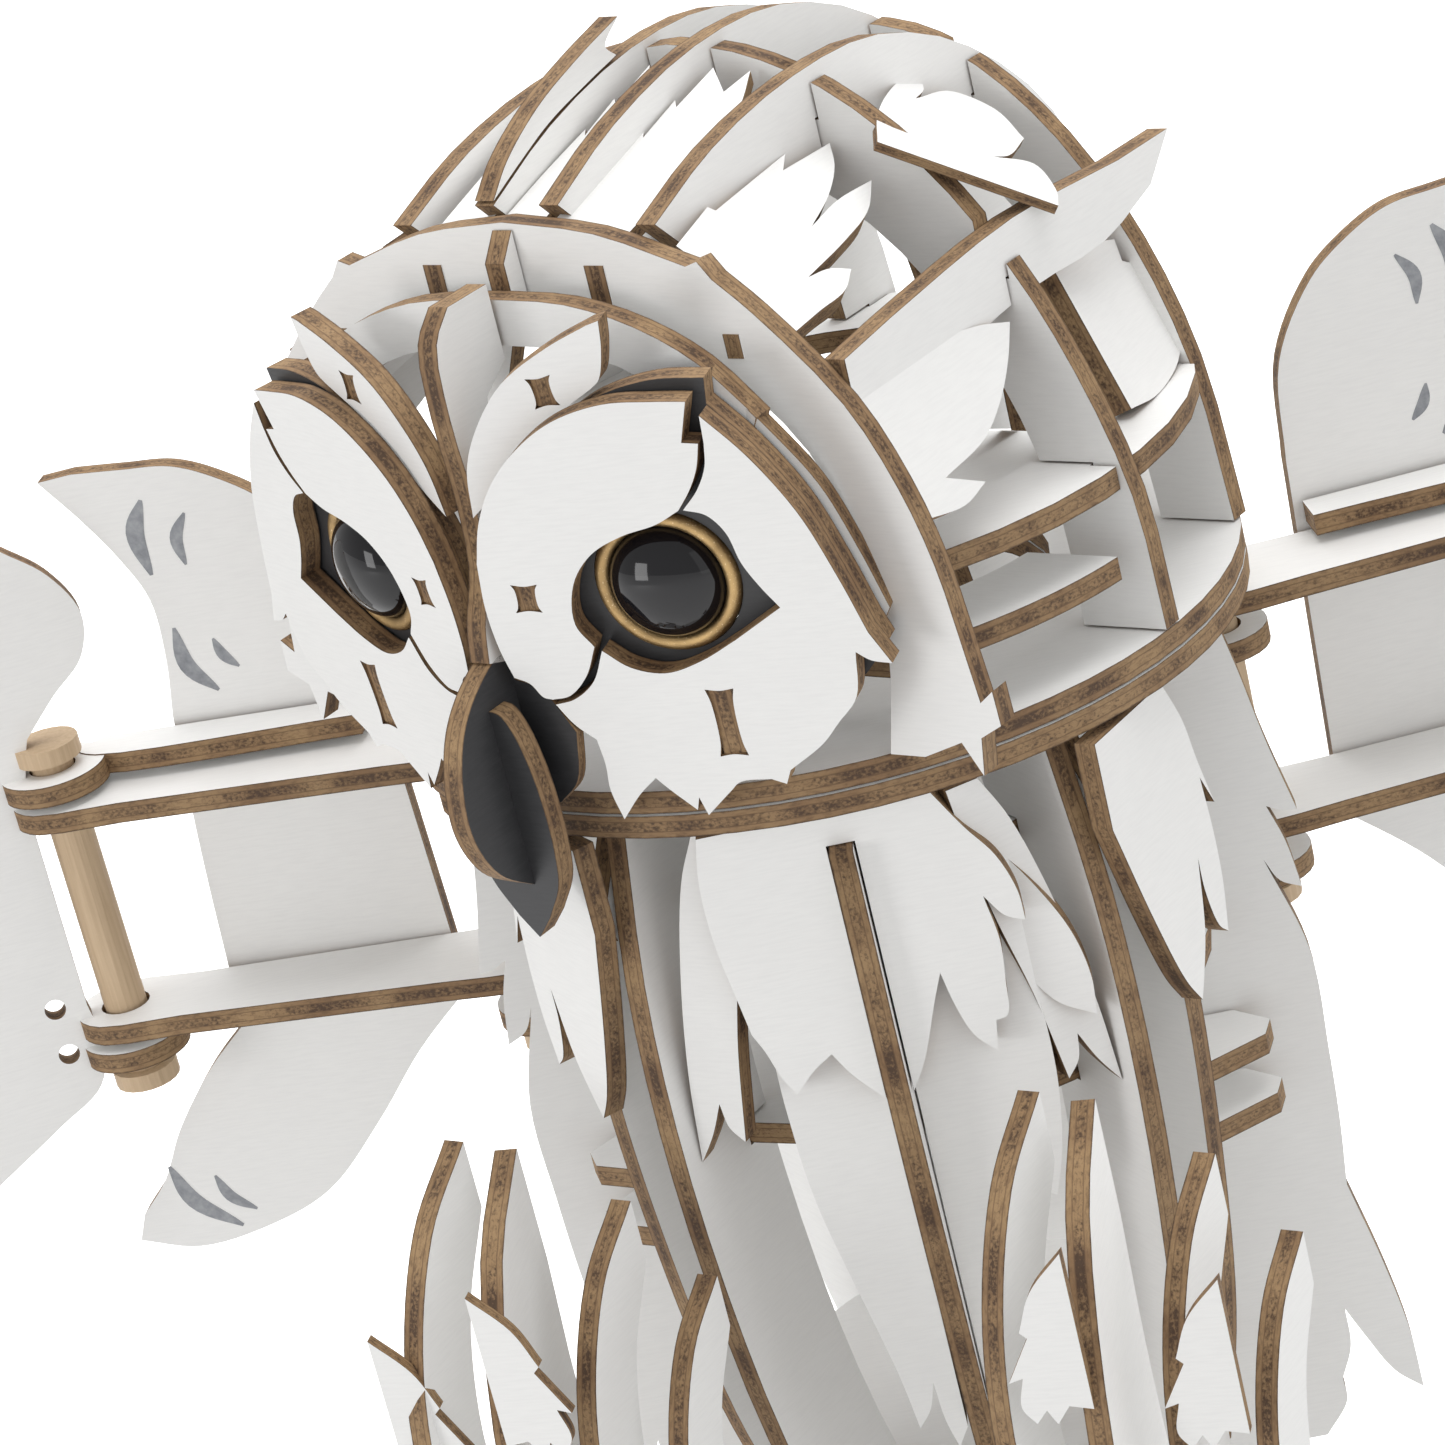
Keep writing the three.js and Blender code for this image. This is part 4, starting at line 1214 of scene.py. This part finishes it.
@dataclass
class Wing:
    """One wing: feather panels, printed strokes, link bar and wrist plates."""

    name: str
    side: int
    shoulder: Point = (50.0, 14.0)
    arm: float = 60.0
    sweep: float = 8.0
    fold: float = -22.0
    cover_y: float = 9.8
    ink: float = 0.06

    def frames(self) -> tuple[Matrix, Matrix]:
        """The frames of the inner and of the outer wing, at the shoulder and at the wrist."""
        at = Matrix.Translation((self.side * self.shoulder[0], self.shoulder[1], 0))
        inner = TORSO @ at @ turn_z(self.side * self.sweep)
        outer = inner @ Matrix.Translation((self.side * self.arm, 0, 0)) @ turn_z(self.side * self.fold)
        return inner, outer

    def cover(self) -> np.ndarray:
        """The feathers over the inner wing: one rising panel and one hanging panel."""
        return outline(
            [(15.0, -4.0)],
            [(16.6, 10.0), (22.7, 20.0), (28.0, 24.2), (34.3, 27.2), (41.4, 27.9), (48.5, 28.4)],
            [(53.4, 28.0)],
            [(49.0, 21.8), (45.1, 15.2), (42.6, 8.8), (42.8, -0.3), (44.2, -8.5)],
            [(46.0, -30.0), (47.4, -57.0)],
            [(54.2, -63.4), (61.3, -72.3), (65.8, -80.1), (70.5, -85.3)],
            [(72.2, -89.4)],
            [(63.6, -91.6), (52.3, -89.6), (41.9, -85.1), (31.6, -75.0), (22.9, -64.8), (13.5, -56.0)],
        )

    def outer_panel(self) -> np.ndarray:
        """The feathers of the outer wing: a round lobe over the wrist and a long one under it."""
        return outline(
            [(5.0, -19.0)],
            [(4.6, -13.0), (3.2, -7.4), (2.2, -4.6)],
            [(-3.0, 0.4), (-8.0, 4.6), (-9.8, 10.6), (-6.9, 17.2), (-1.8, 22.3)],
            [(12.0, 30.0), (26.0, 36.0), (38.0, 38.0)],
            [(46.0, 38.0), (56.0, 30.0), (60.0, 18.0)],
            [(66.0, 24.0), (76.0, 20.0), (80.0, 6.0)],
            [(84.0, 2.0), (90.0, -10.0), (88.0, -26.0)],
            [(86.0, -40.0), (74.0, -56.0), (60.0, -64.0)],
            [(56.0, -72.0), (38.0, -80.0), (24.2, -67.6)],
            [(13.8, -61.8), (6.6, -57.4), (4.6, -50.7), (5.2, -45.0)],
        )

    def stroke(self, *points: Point, width: float = 1.5) -> np.ndarray:
        """A printed stroke that swells in its middle."""
        line = smooth(points)
        step = np.gradient(line, axis=0)
        normal = np.stack([-step[:, 1], step[:, 0]], 1) / np.linalg.norm(step, axis=1)[:, None]
        swell = (width / 2 * np.sin(np.linspace(0.06, 0.94, len(line)) * math.pi))[:, None]
        return np.vstack([line + normal * swell, (line - normal * swell)[::-1]])

    def strokes(self, frame: Matrix) -> None:
        """Grey strokes printed on the inner feathers."""
        marks = (
            self.stroke((39.8, 23.2), (41.9, 18.6), (41.3, 12.3), width=2.6),
            self.stroke((34.3, 20.4), (36.4, 17.0), (36.1, 13.0), width=1.8),
            self.stroke((40.4, 4.2), (40.0, -1.6), (36.6, -5.8), width=2.4),
            self.stroke((35.4, 1.8), (34.6, -0.8), (32.8, -2.8), width=1.6),
            self.stroke((64.6, -78.0), (62.4, -84.0), (56.2, -89.0), width=2.6),
            self.stroke((58.2, -80.4), (56.8, -84.0), (53.4, -86.6), width=1.8),
        )
        for index, mark in enumerate(marks):
            plane = frame @ facing(self.cover_y - PLY / 2 - self.ink / 2)
            name = f"feather_stroke_{index}_{self.name}"
            plate(name, sided(self.side, mark), plane, self.body, finish=PRINT, thickness=self.ink)

    @property
    def body(self) -> Body:
        """The inner wing's body."""
        return Body.WING_RIGHT if self.side > 0 else Body.WING_LEFT

    @property
    def hand(self) -> Body:
        """The outer wing's body."""
        return Body.OUTER_RIGHT if self.side > 0 else Body.OUTER_LEFT

    def build(self) -> None:
        """Build the wing."""
        inner, outer = self.frames()
        cover, outer_wing = f"wing_cover_{self.name}", f"outer_wing_{self.name}"
        plate(f"{cover}_ply", sided(self.side, self.cover()), inner @ facing(self.cover_y), self.body, cover)
        holes = [ring_of(1.5, 24, self.side * 9.6, z) for z in (-44.3, -51.4)]
        panel = sided(self.side, self.outer_panel())
        plate(f"{outer_wing}_ply", panel, outer @ facing(0), self.hand, outer_wing, holes=holes)
        self.strokes(inner)
        bar = outline([(16.0, 1.4)], [(54.0, 1.4), (57.4, 4.2), (54.0, 7.4)], [(16.0, 7.4)])
        plate(f"link_bar_{self.name}", sided(self.side, bar), inner @ level(-11.2), self.body)
        bore = [ring_of(3.3, 24)]
        plate(f"wrist_boss_upper_{self.name}", ring_of(7.4, 40), outer @ level(-11.4), self.hand, holes=bore)
        plate(f"wrist_boss_lower_{self.name}", ring_of(7.4, 40), outer @ level(-52.8), self.hand, holes=bore)


# ---- the scene -----------------------------------------------------------


@dataclass(frozen=True)
class Studio:
    """Pale floor, soft lights and the camera.

    The camera looks at the neck ring from a little to the owl's left and above, rolled about its own axis.
    """

    azimuth: float = 6.0
    elevation: float = 22.31
    roll: float = 13.94
    distance: float = 600.0
    offset: Point = (12.12, 16.15)
    lens: float = 115.1

    def camera(self) -> None:
        """Make the camera and give it to the scene."""
        e, a, r = (math.radians(v) for v in (self.elevation, self.azimuth, self.roll))
        back = Vector((math.sin(a) * math.cos(e), -math.cos(a) * math.cos(e), math.sin(e)))
        level_right = Vector((math.cos(a), math.sin(a), 0))
        level_up = back.cross(level_right)
        right = math.cos(r) * level_right - math.sin(r) * level_up
        up = math.sin(r) * level_right + math.cos(r) * level_up
        at = Vector((0, 0, RING_Z)) + self.distance * back - self.offset[0] * right - self.offset[1] * up
        data = bpy.data.cameras.new("camera")
        data.sensor_width = 36.0
        data.lens = self.lens
        data.clip_start = 0.05
        data.clip_end = 20.0
        camera = bpy.data.objects.new("camera", data)
        camera.matrix_world = placing(right, up, back, at * MM)
        bpy.context.scene.collection.objects.link(camera)
        bpy.context.scene.camera = camera

    def floor(self) -> None:
        """A wide pale floor under the base."""
        mesh = bpy.data.meshes.new("floor")
        reach = 6.0
        corners = [(-reach, -reach, 0), (reach, -reach, 0), (reach, reach, 0), (-reach, reach, 0)]
        mesh.from_pydata(corners, [], [(0, 1, 2, 3)])
        n = Nodes("floor_white")
        n.shader.inputs["Base Color"].default_value = (0.93, 0.93, 0.93, 1.0)
        n.shader.inputs["Roughness"].default_value = 0.9
        n.shader.inputs["Emission Color"].default_value = (1.0, 1.0, 1.0, 1.0)
        n.shader.inputs["Emission Strength"].default_value = 0.62
        mesh.materials.append(n.material)
        obj = bpy.data.objects.new("floor", mesh)
        obj.visible_diffuse = False
        bpy.context.scene.collection.objects.link(obj)

    def light(self, name: str, at: Sequence[float], size: Point, power: float) -> None:
        """A soft rectangular light aimed at the neck ring.

        Args:
            name: the light's name.
            at: where it stands, in metres.
            size: its width and height, in metres.
            power: its power in watts.
        """
        data = bpy.data.lights.new(name, "AREA")
        data.shape = "RECTANGLE"
        data.size, data.size_y = size
        data.energy = power
        obj = bpy.data.objects.new(name, data)
        obj.location = Vector(at)
        aim = Vector((0, 0, RING_Z * MM)) - obj.location
        obj.rotation_euler = aim.to_track_quat("-Z", "Y").to_euler()
        bpy.context.scene.collection.objects.link(obj)

    def lights(self) -> None:
        """A window-like key from the upper left, a broad top light, a low fill and a white surround."""
        self.light("key", (-0.80, -0.57, 0.27), (0.30, 0.36), 1.8)
        self.light("top", (0.10, 0.25, 1.30), (1.4, 1.4), 15.0)
        self.light("fill", (0.9, -0.8, 0.5), (0.9, 0.9), 1.2)
        world = bpy.data.worlds.new("surround")
        world.use_nodes = True
        world.node_tree.nodes["Background"].inputs[0].default_value = (1.0, 1.0, 1.0, 1.0)
        world.node_tree.nodes["Background"].inputs[1].default_value = 0.74
        bpy.context.scene.world = world
        bpy.context.scene.view_settings.view_transform = "Standard"


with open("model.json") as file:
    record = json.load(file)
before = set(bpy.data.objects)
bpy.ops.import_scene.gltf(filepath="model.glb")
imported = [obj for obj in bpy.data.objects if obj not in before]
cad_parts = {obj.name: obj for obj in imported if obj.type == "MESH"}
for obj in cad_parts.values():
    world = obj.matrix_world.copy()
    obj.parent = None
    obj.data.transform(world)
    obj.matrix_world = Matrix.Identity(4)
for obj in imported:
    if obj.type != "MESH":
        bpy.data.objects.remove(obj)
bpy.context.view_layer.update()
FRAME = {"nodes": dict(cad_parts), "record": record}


def dress_frame() -> None:
    """Dress every plate of the frame that no piece stands for yet, and finish the turned pieces."""
    for entry in FRAME["record"]["subparts"]:
        node = FRAME["nodes"][entry["node"]]
        slot = entry["material_slot"]
        if node.hide_render:
            continue
        if slot == WHITE.slot:
            clad(entry["node"], WHITE)
        elif slot == BLACK.slot:
            clad(entry["node"], BLACK)
        else:
            node.data.materials.clear()
            node.data.materials.append(DOWEL.material())


def main() -> None:
    """Build the owl and its studio."""
    logging.basicConfig(level=logging.INFO, format="%(message)s")
    studio = Studio()
    studio.camera()
    studio.floor()
    studio.lights()
    Face().build()
    Crown().build()
    Torso().build()
    Legs().build()
    for name, side in SIDES:
        Wing(name, side).build()
    dress_frame()


if __name__ == "__main__":
    main()
